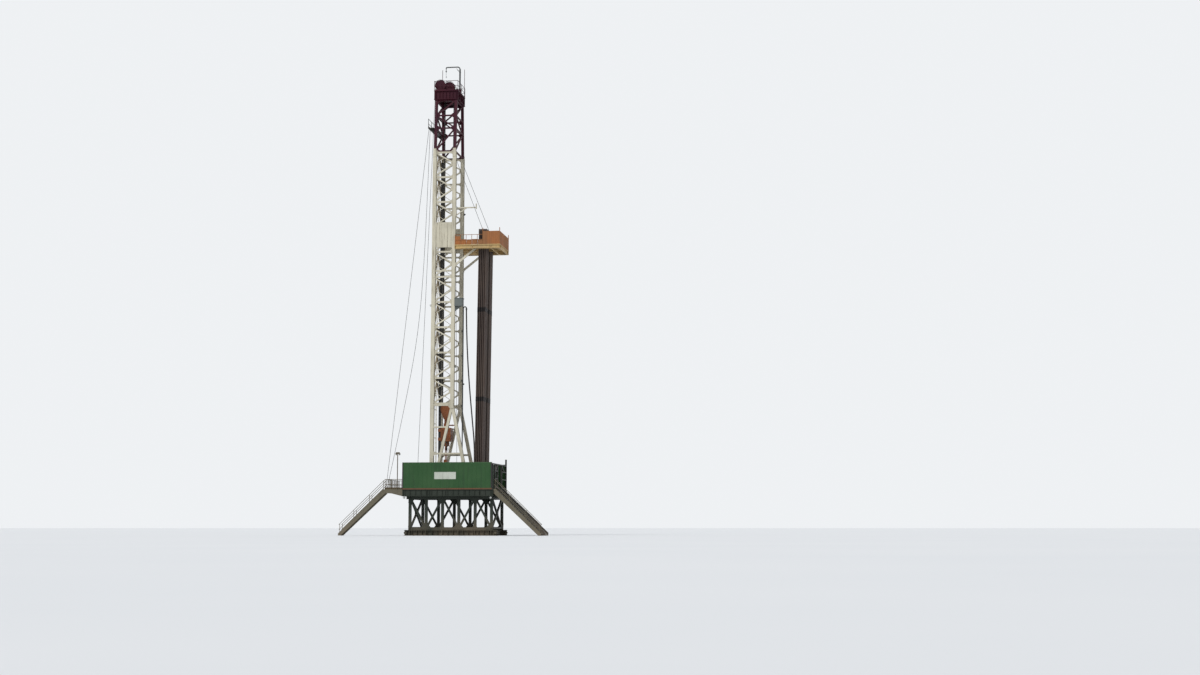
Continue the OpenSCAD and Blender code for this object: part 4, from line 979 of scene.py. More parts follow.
def windBoards():
    bag = Bag()
    w, low, high, start = board["halfWidth"], boardZ + 0.004, board["wallTop"], board["openTo"]
    middle, tall, end = (low + high) / 2, high - low - 0.02, board["end"]
    foot, crest = board["rib"]
    tube, top = board["topTube"], high + 0.012
    for side in (-1, 1):
        for along in stepped(*board["sideRibs"]):
            place = (start + along, side * (w - 0.008), middle)
            bag.plate(tapered(foot, crest, side * 0.008), place, xWay, yWay, tall)
        for z in board["rails"]:
            bag.box((start, side * (w - 0.060), z - 0.02), (end - 0.04, side * (w - 0.032), z + 0.02))
        y = side * (w - 0.02)
        bag.bar((start, y, top), (end - 0.02, y, top), tube, 10)
    for y in spaced(-w + 0.075, w - 0.075, board["endRibs"]):
        bag.plate(tapered(foot, crest, 0.0075), (end - 0.008, y, middle), yWay, xWay, tall)
    for z in board["rails"]:
        bag.box((end - 0.060, -w + 0.03, z - 0.02), (end - 0.032, w - 0.03, z + 0.02))
    bag.bar((end - 0.02, -w + 0.02, top), (end - 0.02, w - 0.02, top), tube, 10)
    bag.piece("windBoardRibs", "board_orange")


def fingerLatches():
    bag, rails = Bag(), Bag()
    z = boardZ - 0.03
    fingers = stepped(board["fingerFrom"], board["fingerPitch"], board["fingers"])
    latch = [(0, -0.006), (0.030, -0.004), (0.034, 0.004), (0, 0.006)]
    for side in (-1, 1):
        for i, x in enumerate(fingers):
            for k in range(board["latches"]):
                y = side * (board["latchFrom"] + k * board["fingerPitch"])
                bag.box((x - 0.010, y - 0.012, z + 0.0003), (x + 0.010, y + 0.012, z + 0.012))
                bag.bar((x - 0.012, y, z + 0.014), (x + 0.012, y, z + 0.014), 0.007)
                if i % 2 == 0:
                    bag.plate(latch, (x, y + side * 0.004, z + 0.020), (0.3, 0, 0.95), yWay, 0.005)
            tip = (x, side * 0.190, z)  # the finger's free end
            bag.turned(collar(0.004, 0.011, 0.004, 0.020), tip, zWay, 10)
        y = side * board["railY"]  # the rail that carries the fingers and their air lines
        rails.box((1.40, y - 0.012, z + 0.0003), (2.52, y + 0.012, z + 0.016))
        line = y + side * 0.004
        rails.bar((1.38, line, z + 0.036), (2.54, line, z + 0.036), 0.007)
        rails.bolts([(x + dx, y, z + 0.016) for x in fingers for dx in (-0.006, 0.006)], zWay, 0.005)
    bag.piece("fingerLatches", "worn_steel")
    rails.piece("fingerRails", "board_sand", slot="board_orange")


# plates and bolts where the board and its braces are fixed to the mast legs
def boardFixings():
    bag = Bag()
    for side in (-1, 1):
        places = [(board["legFace"], side * y, z) for z in board["fixingRows"] for y in board["fixingY"]]
        bag.bolts(places, xWay, 0.008)
        bag.box((0.6562, side * 1.18, 15.715), (0.6660, side * 1.295, 15.925))
        rows = stepped(*board["braceRows"])
        feet = [(board["braceFace"], side * legY + y, z) for z in rows for y in (-0.055, 0.055)]
        bag.bolts(feet, xWay, 0.007)
    bag.piece("boardFixings", "board_sand", slot="board_orange")


boardGratings()
boardPanels()
windBoards()
fingerLatches()
boardFixings()
print("racking board dressed")


# crown: deck pattern, line guards and ribs on the sheaves, gussets down the tapered legs

crown = {
    "foot": 21.2403, "height": 3.0194, "legHalf": 0.075, "topY": 0.80, "levels": (0.0, 0.45, 0.7, 1.0),
    "halfX": 0.69, "halfY": 0.935, "shaftZ": 25.14, "sheave": 0.30, "clusterY": 0.18,
    "fast": (-0.45, -0.41, 25.20), "platform": (-0.96, -0.6303, 22.609, 1.145),
    "beam": (24.285, 24.735), "guard": 0.022, "fastGuard": 0.020, "gusset": 0.010,
    "face": 0.042, "frontFace": 0.041, "footFace": 0.0755, "footRows": (21.30, 21.35),
    "bolt": 0.009, "footBolt": 0.010, "sideWebs": (-0.57, 0.19, 7), "endWebs": (-0.80, 0.20, 9),
    "toeBoard": 0.07, "guardRods": (40, 75, 105, 140), "guardHoop": (20, 161, 10),  # degrees
    "fastRods": (60, 120, 175), "fastHoop": (40, 181, 10), "rod": 0.010, "hoop": 0.012,
    "fastRod": 0.008,
    "lineGap": (-0.62, -0.14),  # left clear in the platform's grating for the fast line
}


def crownLegY(share):
    return legY + (crown["topY"] - legY) * share


def crownGussets():
    bag = Bag()
    thick = crown["gusset"]
    lean = math.atan2(legY - crown["topY"], crown["height"])
    heights = {level: crown["foot"] + 0.04 + level * (crown["height"] - 0.08) for level in crown["levels"]}
    reach = [(0, -0.13), (0.07, -0.13), (0.20, -0.03), (0.20, 0.03), (0.07, 0.13), (0, 0.13)]
    spots = ((0.03, -0.04), (0.03, 0.04), (0.11, 0.0), (0.16, 0.0))
    for side in (-1, 1):
        up = Vector((0, -side * math.sin(lean), math.cos(lean)))
        out = Vector((0, side * math.cos(lean), math.sin(lean)))
        for level, z in heights.items():
            low = 0.06 if level == 0.0 else 0.13
            high = 0.06 if level == 1.0 else 0.13
            shape = [(a, max(-low, min(high, b))) for a, b in reach]
            for end in (-1, 1):
                origin = Vector((end * (legX - 0.072), side * crownLegY(level), z)) + out * crown["face"]
                bag.plate(shape, origin, (-end, 0, 0), up, thick)
                places = [origin + Vector((-end * a, 0, 0)) + up * b + out * (thick / 2) for a, b in spots]
                bag.bolts(places, out, crown["bolt"])
        foot = side * (legY + crown["footFace"])  # bolts where the crown legs stand on the mast legs
        for end in (-1, 1):
            places = [(end * legX + dx, foot, z) for z in crown["footRows"] for dx in (0.045, -0.045)]
            bag.bolts(places, (0, side, 0), crown["footBolt"])
    shape = [(0, -0.11), (0.06, -0.11), (0.18, 0), (0.06, 0.11), (0, 0.11)]
    for x, out in ((-legX, -1), (legX, 1)):
        for level in crown["levels"][1:3]:
            y = crownLegY(level) - crown["legHalf"] - 0.002
            for side in (-1, 1):
                place = (x + out * crown["frontFace"], side * y, heights[level])
                bag.upright(shape, place, (0, -side, 0), thick)
                places = [(x + out * 0.046, side * (y - a), heights[level] + b)
                          for a, b in ((0.03, -0.05), (0.03, 0.05), (0.10, 0))]
                bag.bolts(places, (out, 0, 0), crown["bolt"])
    bag.piece("crownGussets", "crown_burgundy")


def crownDeck():
    bag = Bag()
    z = crownTop + 0.0004
    hx, hy = crown["halfX"] - 0.05, crown["halfY"] - 0.05
    half = crown["sheave"] + 0.05
    for x0, x1, y0, y1 in ((half, hx, -hy, hy), (-hx, half, 0.37, hy), (-hx, half, -hy, -0.50)):
        grate(bag, (x0, y0), (x1, y1), z, 0.045, 0.007, alongX=(x1 - x0) > (y1 - y0))
    for side in (-1, 1):
        bag.box((-hx, side * hy, z), (hx, side * (hy + 0.008), z + crown["toeBoard"]))
        bag.box((side * hx, -hy, z), (side * (hx + 0.008), hy, z + crown["toeBoard"]))
    bag.piece("crownDeckGrating", "crown_burgundy")
    bag = Bag()
    low, high = crown["beam"]
    for side in (-1, 1):  # stiffeners on the outer beams
        for x in stepped(*crown["sideWebs"]):
            bag.box((x - 0.005, side * 0.885, low), (x + 0.005, side * 0.934, high))
        for y in stepped(*crown["endWebs"]):
            bag.box((side * 0.64, y - 0.005, low), (side * 0.689, y + 0.005, high))
    bag.piece("crownBeamStiffeners", "crown_burgundy")


def sheaveDetail(bag, centre, faces, radius):
    x, y, z = centre
    for face in faces:
        for turn in turns(8):
            ends = [wheel(x, y + face, z, r, turn) for r in (0.062, radius - 0.045)]
            bag.tube(ends, 0.012, 6)
        out = 1 if face > 0 else -1
        bag.turned([(0.048, 0), (0.048, 0.012), (0.020, 0.016)], (x, y + face, z), (0, out, 0), 20)


def addHoop(bag, centre, reach, radius, angles):
    bag.tube([wheel(*centre, reach, math.radians(angle)) for angle in angles], radius, 8)


def crownSheaveTrim():
    bag = Bag()
    zs, r, cy, rod = crown["shaftZ"], crown["sheave"], crown["clusterY"], crown["rod"]
    guard = r + crown["guard"]
    sheaveDetail(bag, (0, 0, zs), (-(cy + 0.026), cy + 0.026), r)
    for turn in crown["guardRods"]:  # rods that keep the lines in their grooves
        bag.tube([wheel(0, y, zs, guard, math.radians(turn)) for y in (-cy - 0.10, cy + 0.10)], rod, 8)
    for side in (-1, 1):
        y, cheek, out = side * (cy + 0.095), side * (cy + 0.14), (0, side, 0)
        addHoop(bag, (0, y, zs), guard, crown["hoop"], range(*crown["guardHoop"]))
        x, y, z = wheel(0, y, zs, guard, math.radians(crown["guardHoop"][0]))
        for end in (-1, 1):
            bag.bar((end * 0.14, side * (cy + 0.11), crownTop + 0.12), (x * end, y, z), rod)
            bag.bolts([(end * dx, cheek, crownTop + 0.06) for dx in (0.03, 0.11)], out, crown["footBolt"])
        bag.turned([(0.075, 0), (0.075, 0.006), (0.050, 0.012)], (0, cheek, zs), out, 20)
        bag.bolts([wheel(0, side * (cy + 0.146), zs, 0.062, turn) for turn in turns(6)], out, 0.006)
    fx, fy, fz = crown["fast"]
    guard = r + crown["fastGuard"]
    for turn in crown["fastRods"]:
        ends = [wheel(fx, fy + dy, fz, guard, math.radians(turn)) for dy in (-0.05, 0.05)]
        bag.tube(ends, 0.009, 8)
    for side in (-1, 1):
        y = fy + side * 0.046
        addHoop(bag, (fx, y, fz), guard, crown["fastRod"], range(*crown["fastHoop"]))
        hub = [(0.060, 0), (0.060, 0.006), (0.036, 0.010)]
        bag.turned(hub, (fx, fy + side * 0.080, fz), (0, side, 0), 18)
    bag.piece("sheaveGuards", "crown_burgundy")


# grating, toe board and knee brackets of the work platform behind the crown
def crownPlatformTrim():
    bag = Bag()
    x0, x1, z, half = crown["platform"]
    low = z + 0.0004
    for y0, y1 in ((-half + 0.02, crown["lineGap"][0]), (crown["lineGap"][1], half - 0.02)):
        grate(bag, (x0 + 0.035, y0), (x1 - 0.01, y1), low, 0.040, 0.006, alongX=False)
    bag.box((x0 + 0.034, -half + 0.01, low), (x0 + 0.042, half - 0.01, z + 0.08))
    knee = [(0, 0), (-0.27, 0), (-0.27, -0.03), (0, -0.24)]
    for side in (-1, 1):
        place = (x1 + 0.002, side * (crownLegY(0.44) + 0.02), z - 0.0405)
        bag.upright(knee, place, xWay, 0.012)
    bag.piece("crownPlatformTrim", "black_paint")


# davit: collars, handle, chain and hook, which turn with it
davit = {
    "foot": 25.05, "head": 26.02, "handle": ((0.05, 25.07), (0.15, 25.07), (0.15, 25.14)), "grip": 0.009,
    "x": 0.58, "tip": (-0.22, 26.10), "links": 11, "linkPitch": 0.021, "linkWide": 0.008,
    "linkTall": 0.015, "wire": 0.0032, "hook": 0.028,
}


def davitTrim():
    bag = Bag()
    x = davit["x"]
    bag.turned(collar(0.049, 0.066, 0.004, 0.034), (x, 0, davit["foot"]), zWay, 28)
    bag.tube([(x + dx, 0, z) for dx, z in davit["handle"]], davit["grip"], 8)
    bag.turned(collar(0.049, 0.058, 0.003, 0.025), (x, 0, davit["head"]), zWay, 28)
    rib = [(0, 0), (-0.16, 0.18), (-0.18, 0.18), (-0.06, 0)]
    bag.upright(rib, (x - 0.036, 0, 26.085), xWay, 0.010)
    bag.piece("davitTrim", "worn_steel", body="davit", smooth=True)
    bag = Bag()
    tx, tz = davit["tip"]
    top = tz - 0.048
    for i in range(davit["links"]):
        z = top - i * davit["linkPitch"]
        u = Vector(xWay if i % 2 else yWay)
        ring = [Vector((tx, 0, z + davit["linkTall"] * math.sin(t))) + u * (davit["linkWide"] * math.cos(t))
                for t in turns(10) + [2 * math.pi]]
        bag.tube(ring, davit["wire"], 6)
    z = top - davit["links"] * davit["linkPitch"]
    bend = [math.radians(90 - k * 25) for k in range(1, 11)]
    hook = [(tx, 0, z + 0.008), (tx, 0, z - 0.02)] + [wheel(tx, 0, z - 0.048, davit["hook"], t) for t in bend]
    bag.tube(hook, [0.010, 0.012] + [0.012 - 0.0006 * k for k in range(10)], 10)
    bag.turned(collar(0.004, 0.018, 0.003, 0.023), (tx, 0, z - 0.012), zWay, 14)
    bag.piece("davitChainAndHook", "worn_steel", body="davit", smooth=True)


crownGussets()
crownDeck()
crownSheaveTrim()
crownPlatformTrim()
davitTrim()
print("crown dressed")


# substructure: gussets, bolts and corner pins on the side frames, stiffeners along the skids

base = {
    "frameY": 1.515, "skidY": 1.45, "columns": [-1.625 + 0.9 * i for i in range(6)], "low": 0.3003,
    "high": 2.1097, "skidFrom": -1.92, "skidTo": 3.17, "gusset": 0.011, "bolt": 0.012,
    "endX": ((-1.6715, -1), (2.9215, 1)), "endY": 1.383, "endZ": 1.205,
    "long": (0.30, 0.34), "short": (0.16, 0.20),  # reach and height of the gussets
    "skidWebs": 18, "skidBolts": 30, "skidTop": 0.300, "skidBoltY": 1.565, "crossPlate": (0.17, 0.10),
    "endCorners": ((0.365, 1), (2.045, -1)),
}


def frameGussets():
    bag = Bag()
    thick, size = base["gusset"], base["bolt"]
    for side in (-1, 1):
        y = side * (base["frameY"] + thick / 2)
        face, out = y + side * thick / 2, (0, side, 0)
        for i, x in enumerate(base["columns"]):
            falls = i % 2 == 0  # braces meet the top of every second column, the foot of the others
            for z, up in ((base["low"] + 0.02, 1), (base["high"] - 0.02, -1)):
                braced = falls == (up < 0)
                reach, tall = base["long" if braced else "short"]
                left = reach if i > 0 else 0.075
                right = reach if i < 5 else 0.075
                edge, peak = 0.09 * up, tall * up
                shape = [(-left, 0), (right, 0), (right, edge), (0.085, peak), (-0.085, peak), (-left, edge)]
                bag.upright(shape, (x, y, z), xWay, thick)
                rows = (0.05, 0.12, tall - 0.03)
                bag.bolts([(x + dx, face, z + dz * up) for dx in (-0.05, 0.05) for dz in rows], out, size)
                if braced:
                    reaches = (-reach + 0.05, -reach + 0.12, reach - 0.12, reach - 0.05)
                    places = [(x + dx, face, z + 0.045 * up) for dx in reaches if -left < dx < right]
                    bag.bolts(places, out, size)
        pin = [(0.020, 0), (0.052, 0.003), (0.052, 0.030), (0.030, 0.036)]
        for x in (base["columns"][0], base["columns"][5]):
            for z in (base["low"] + 0.13, base["high"] - 0.13):
                bag.turned(pin, (x, side * (base["frameY"] + thick), z), out, 20)
    bag.piece("frameGussets", "dark_green_paint")


def skidTrim():
    bag = Bag()
    start, end = base["skidFrom"], base["skidTo"]
    ring = [(0.056, 0), (0.070, 0.003), (0.070, 0.016), (0.056, 0.020)]
    for side in (-1, 1):
        middle = side * base["skidY"]
        for x in spaced(start + 0.14, end - 0.14, base["skidWebs"]):
            for turn in (-1, 1):
                y0, y1 = middle + turn * 0.014, middle + turn * 0.136
                bag.box((x - 0.006, y0, 0.026), (x + 0.006, y1, 0.274))
        columns = spaced(start + 0.10, end - 0.10, base["skidBolts"])
        places = [(x, side * base["skidBoltY"], base["skidTop"]) for x in columns]
        bag.bolts(places, zWay, base["bolt"])
        for x in (start + 0.06, end - 0.06):
            for turn in (-1, 1):
                bag.turned(ring, (x, middle + turn * 0.1205, 0.15), (0, turn, 0), 20)
    bag.piece("skidTrim", "dark_green_paint")


# plates at the centre and the corners of the crossed end bracing
def endBracingTrim():
    bag = Bag()
    thick, size, middle, edge = base["gusset"], base["bolt"], base["endZ"], base["endY"]
    for x, out in base["endX"]:
        plateX, face = x + out * 0.006, x + out * 0.0115
        bag.upright(oblong(*base["crossPlate"]), (plateX, 0, middle), yWay, thick)
        places = [(face, y, middle + dz) for y in (-0.12, -0.05, 0.05, 0.12) for dz in (-0.06, 0.06)]
        bag.bolts(places, (out, 0, 0), size)
        for side in (-1, 1):
            for z, up in base["endCorners"]:
                far, near = -side * 0.34, -side * 0.12
                shape = [(0, 0), (far, 0), (far, 0.08 * up), (near, 0.22 * up), (0, 0.22 * up)]
                bag.upright(shape, (plateX, side * edge, z), yWay, thick)
                places = [(face, side * (edge - dy), z + 0.045 * up) for dy in (0.06, 0.15, 0.24)]
                bag.bolts(places, (out, 0, 0), size)
    bag.piece("endBracingTrim", "dark_green_paint")


# stairs: ribs and a nosing strip on each tread, and bolts through the stringers
stairs = {
    "run": 2.6, "risers": 22, "width": 0.48, "depth": 0.125, "ribs": 4, "ribPitch": 0.027, "rib": 0.005,
    "nosing": [(0, 0.006), (0.005, 0.006), (0.005, -0.034), (0, -0.034)], "bolt": 0.008,
    "flights": (("Front", 3.05, 1, -1.6), ("Rear", -3.05, -1, -1.15)),
}


def dressStair(name, x0, way, y0):
    step = stairs["run"] / stairs["risers"]
    treads, bolts = Bag(), Bag()
    half = stairs["width"] / 2 - 0.001
    for i in range(1, stairs["risers"]):
        z = floorZ * (1 - i / stairs["risers"])
        front = x0 + way * (i * step + stairs["depth"] - 0.010)
        for k in range(stairs["ribs"]):
            x = front - way * (0.022 + k * stairs["ribPitch"])
            treads.box((x - 0.003, y0 - half, z), (x + 0.003, y0 + half, z + stairs["rib"]))
        treads.upright(stairs["nosing"], (front, y0, z), (way, 0, 0), half * 2)
        for side in (-1, 1):
            y = y0 + side * (stairs["width"] / 2 + 0.024)
            places = [(front - way * dx, y, z - 0.011) for dx in (0.03, 0.09)]
            bolts.bolts(places, (0, side, 0), stairs["bolt"])
    treads.piece("treadRibs" + name, "black_paint")
    bolts.piece("stringerBolts" + name, "rail_tan")


# ramp: cross ridges, and stiffeners on the kerbs
ramp = {
    "from": (3.05, 2.5), "to": (5.65, 0.04), "half": 0.498, "ridges": 17, "ridge": (0.024, 0.010, 0.012),
    "kerbY": 0.5605, "kerbRibs": 8, "kerbRib": (0.006, 0.10), "kerbThick": 0.008,
}


def dressRamp():
    bag = Bag()
    (x0, z0), (x1, z1) = ramp["from"], ramp["to"]
    slope = Vector((x1 - x0, 0, z1 - z0)).normalized()
    normal = Vector((-slope.z, 0, slope.x))
    length = math.hypot(x1 - x0, z1 - z0)
    for along in spaced(0.12, length - 0.12, ramp["ridges"]):
        at = Vector((x0, 0, z0)) + slope * along + normal * 0.0005
        bag.plate(tapered(*ramp["ridge"]), at, slope, normal, ramp["half"] * 1.9)
    for side in (-1, 1):
        for along in spaced(0.20, length - 0.30, ramp["kerbRibs"]):
            at = Vector((x0, side * ramp["kerbY"], z0 - 0.055)) + slope * along
            bag.plate(oblong(*ramp["kerbRib"]), at, slope, normal, ramp["kerbThick"])
    bag.piece("rampRidges", "black_paint")


# rear platform: open grating, toe boards and infill bars in the rails
porch = {
    "from": -3.05, "to": -1.951, "half": 1.5, "gateEnd": -0.88, "railTop": 3.03, "bar": 0.007,
    "mesh": (0.038, 0.006), "ties": (0.13, 0.005), "toeBoard": 0.10, "sideBars": (0.07, 0.106, 10),
    "endBars": 21,
}


def dressPorch():
    bag = Bag()
    z, start, half = floorZ + 0.0004, porch["from"], porch["half"]
    low, high = (start + 0.03, -half + 0.03), (porch["to"] - 0.01, half - 0.03)
    grate(bag, low, high, z, *porch["mesh"], alongX=False)
    grate(bag, low, high, z, *porch["ties"])
    bag.piece("porchGrating", "rail_tan")
    bag = Bag()
    edge, foot, top, toe = half - 0.032, z + 0.01, porch["railTop"], z + porch["toeBoard"]
    for side in (-1, 1):
        y = side * edge
        bag.box((start + 0.02, y - 0.003, z), (porch["to"] - 0.03, y + 0.003, toe))
        y = side * (half - 0.014)
        for x in stepped(*porch["sideBars"]):
            bag.bar((start + x, y, foot), (start + x, y, top), porch["bar"], 6)
    bag.box((start + 0.028, porch["gateEnd"] + 0.06, z), (start + 0.034, edge, toe))
    x = start + 0.014
    for y in spaced(porch["gateEnd"] + 0.10, half - 0.05, porch["endBars"]):
        bag.bar((x, y, foot), (x, y, top), porch["bar"], 6)
    bag.piece("porchRailInfill", "porch_brown", slot="rail_tan")


# lamp pole: two lamps at its head, and bands down the pole
pole = {
    "place": (-2.35, -1.486), "lampZ": 4.40, "foot": 2.505, "bands": (2.9, 3.3, 3.7, 4.1),
    "lamps": ((-0.10, (-0.6, -0.3, -0.75)), (0.10, (0.7, -0.2, -0.7))),
}


def dressLampPole():
    shell, glass = Bag(), Bag()
    x, y = pole["place"]
    for dx, aim in pole["lamps"]:
        addLamp(shell, glass, (x + dx, y + 0.03, pole["lampZ"]), aim)
    shell.turned(collar(0.024, 0.040, 0.004, 0.024), (x, y, pole["foot"]), zWay, 20)
    for z in pole["bands"]:
        shell.turned(collar(0.0245, 0.030, 0.002, 0.016), (x, y, z), zWay, 16)
    shell.piece("poleLampHousings", "rail_tan", smooth=True)
    glass.piece("poleLampGlasses", "lamp_glass", smooth=True, slot="worn_steel")


frameGussets()
skidTrim()
endBracingTrim()
for name, x0, way, y0 in stairs["flights"]:
    dressStair(name, x0, way, y0)
dressRamp()
dressPorch()
dressLampPole()
print("substructure, stairs and rear platform dressed")


# drawworks: rope wound on the drum, finned motor ends, bolts and louvres on the side housings

works = {
    "x": -1.3475, "drumZ": 3.0203, "drum": 0.21, "flangeY": 0.31, "rope": 0.011, "wraps": 24,
    "housing": (0.53, 0.71), "low": 2.64, "motorY": 0.87, "guard": 0.365, "flangeRibs": 12,
    "flangeReach": (0.10, 0.315), "flangeBolt": 0.27, "fins": 28, "finRadius": 0.2602, "bolt": 0.010,
    "endBolts": (0.215, 10), "topRow": (-0.44, -0.30, -0.15, 0.0, 0.15, 0.30, 0.44),
    "sideRows": (0.15, 0.28, 0.41, 0.53), "louvres": (-0.28, 0.07, 9), "handleZ": 3.22,
    "guardBars": (35, 22, 5),  # degrees from, degrees apart and count
}


def ropeOnDrum():
    rope, edge = works["rope"], works["flangeY"]
    count = int((2 * edge - 0.03) / (2 * rope))
    radius = works["drum"] + rope * 1.02
    path = []
    for k in range(count * works["wraps"] + 1):
        share = k / works["wraps"]
        y = -edge + 0.015 + rope + share * rope * 2.03
        path.append(wheel(works["x"], y, works["drumZ"], radius, 2 * math.pi * share))
    bag = Bag()
    bag.tube(path, rope, 6)
    bag.piece("ropeOnDrum", "wire_rope", smooth=True)


def drawworksTrim():
    bag = Bag()
    x, z, low = works["x"], works["drumZ"], works["low"]
    for side in (-1, 1):
        y, out = side * (works["flangeY"] + 0.0405), (0, side, 0)
        for turn in turns(works["flangeRibs"]):  # ribs and bolts on the drum flanges
            bag.tube([wheel(x, y, z, r, turn) for r in works["flangeReach"]], 0.011, 6)
            bag.bolts([wheel(x, y, z, works["flangeBolt"], turn + 0.26)], out, 0.011)
        end = side * works["motorY"]
        bag.turned(collar(0.262, 0.275, 0.004, 0.026), (x, end - side * 0.14, z), out, 40)
        fin = [(-0.004, 0), (0.004, 0), (0.004, 0.020), (-0.004, 0.020)]
        for turn in turns(works["fins"]):  # cooling fins round the motor ends
            away = Vector(wheel(0, 0, 0, 1, turn))
            across = Vector((-math.sin(turn), 0, math.cos(turn)))
            place = Vector((x, end - side * 0.062, z)) + away * works["finRadius"]
            bag.plate(fin, place, across, away, 0.10)
        radius, count = works["endBolts"]
        bag.bolts([wheel(x, end, z, radius, turn) for turn in turns(count)], out, works["bolt"])
        cover = [(0.150, 0), (0.150, 0.006), (0.110, 0.016), (0.040, 0.018)]
        bag.turned(cover, (x, end, z), out, 32)
        spots = [(dx, 0.045) for dx in works["topRow"]]
        spots += [(dx, dz) for dz in works["sideRows"] for dx in (-0.465, 0.465)]
        for face, way in zip(works["housing"], (-1, 1)):
            places = [(x + dx, side * face, low + dz) for dx, dz in spots]
            bag.bolts(places, (0, side * way, 0), works["bolt"])
        louvre = [(-0.022, 0), (0.022, 0.010), (0.022, 0.016), (-0.022, 0.006)]
        for along in stepped(*works["louvres"]):  # on top of the housings
            bag.upright(louvre, (x + along, side * 0.62, low + 0.7605), xWay, 0.13)
        handle = ((-0.20, 0.715), (-0.20, 0.745), (-0.05, 0.745), (-0.05, 0.715))
        bag.tube([(x + dx, side * y, works["handleZ"]) for dx, y in handle], 0.008, 8)
    for angle in stepped(*works["guardBars"]):  # over the drum
        turn, inner = math.radians(angle), works["housing"][0]
        bag.tube([wheel(x, y, z, works["guard"], turn) for y in (-inner, inner)], 0.010, 8)
    bag.piece("drawworksTrim", "worn_steel")


# rotary table: studs and lock lugs on the ring, ribs below it, cover plates at the corners
rotary = {
    "top": 2.5605, "studs": 24, "studRadius": 0.262, "stud": 0.009, "lugs": 4, "ribs": 48,
    "ringEdge": 0.2852, "ribZ": 2.530, "coverZ": 2.5005, "cover": 0.30, "coverHalf": 0.045,
    "coverThick": 0.008, "coverBolt": 0.014,
}


def rotaryTrim():
    bag = Bag()
    top = rotary["top"]
    studs = [flat(rotary["studRadius"], turn, top) for turn in turns(rotary["studs"])]
    bag.bolts(studs, zWay, rotary["stud"])
    lug = [(-0.030, 0.182), (0.030, 0.182), (0.022, 0.236), (-0.022, 0.236)]
    for turn in turns(rotary["lugs"], math.pi / 4):
        out, across = Vector(flat(1, turn, 0)), Vector((-math.sin(turn), math.cos(turn), 0))
        bag.plate(lug, (0, 0, top + 0.005), across, out, 0.010)
    rib = [(-0.005, 0), (0.005, 0), (0.005, 0.007), (-0.005, 0.007)]
    for turn in turns(rotary["ribs"]):
        out, across = Vector(flat(1, turn, 0)), Vector((-math.sin(turn), math.cos(turn), 0))
        bag.plate(rib, flat(rotary["ringEdge"], turn, rotary["ribZ"]), across, out, 0.045)
    for sx in (-1, 1):
        for sy in (-1, 1):
            corner = Vector((sx * rotary["cover"], sy * rotary["cover"], rotary["coverZ"]))
            half, thick = rotary["coverHalf"], rotary["coverThick"]
            bag.plate(oblong(half, half), corner + Vector((0, 0, thick / 2)), xWay, yWay, thick)
            bag.bolts([corner + Vector((0, 0, thick))], zWay, rotary["coverBolt"])
    bag.piece("rotaryTrim", "bright_steel", slot="worn_steel")


ropeOnDrum()
drawworksTrim()
rotaryTrim()
print("drawworks and rotary table dressed")


# top drive and block: motors with fins, pipework, bolted covers; all of it rides with the block

drive = {
    "low": 5.15, "front": 0.31, "back": -0.24, "halfY": 0.31, "coverZ": 5.40,
    "linkTop": (0.20, 5.20), "linkFoot": (0.15, 4.10), "sheaveZ": 6.93, "blockHalf": 0.23,
    "fins": (0.10, 0.045, 13), "sideBolts": (0.05, 0.128, 6), "coverY": (-0.20, 0.0, 0.20),
    "coverHalf": (0.075, 0.13), "ringZ": (5.892, 4.95), "ringBolts": 16, "bolt": 0.010, "smallBolt": 0.007,
    "pipeline": ((0.316, 0.27, 5.75), (0.335, 0.27, 5.70), (0.335, 0.27, 5.30), (0.30, 0.26, 5.12),
                 (0.17, 0.13, 5.00)),
    "tiltArm": (0.022, 0.011), "neckCollars": (0.32, 0.50), "cheekBolts": (-10, 200 / 17, 18),
    "cheekRadius": 0.262, "edgeBolts": (6.48, 0.055, 7), "guards": (200, 35, 5), "guardRadius": 0.272,
}


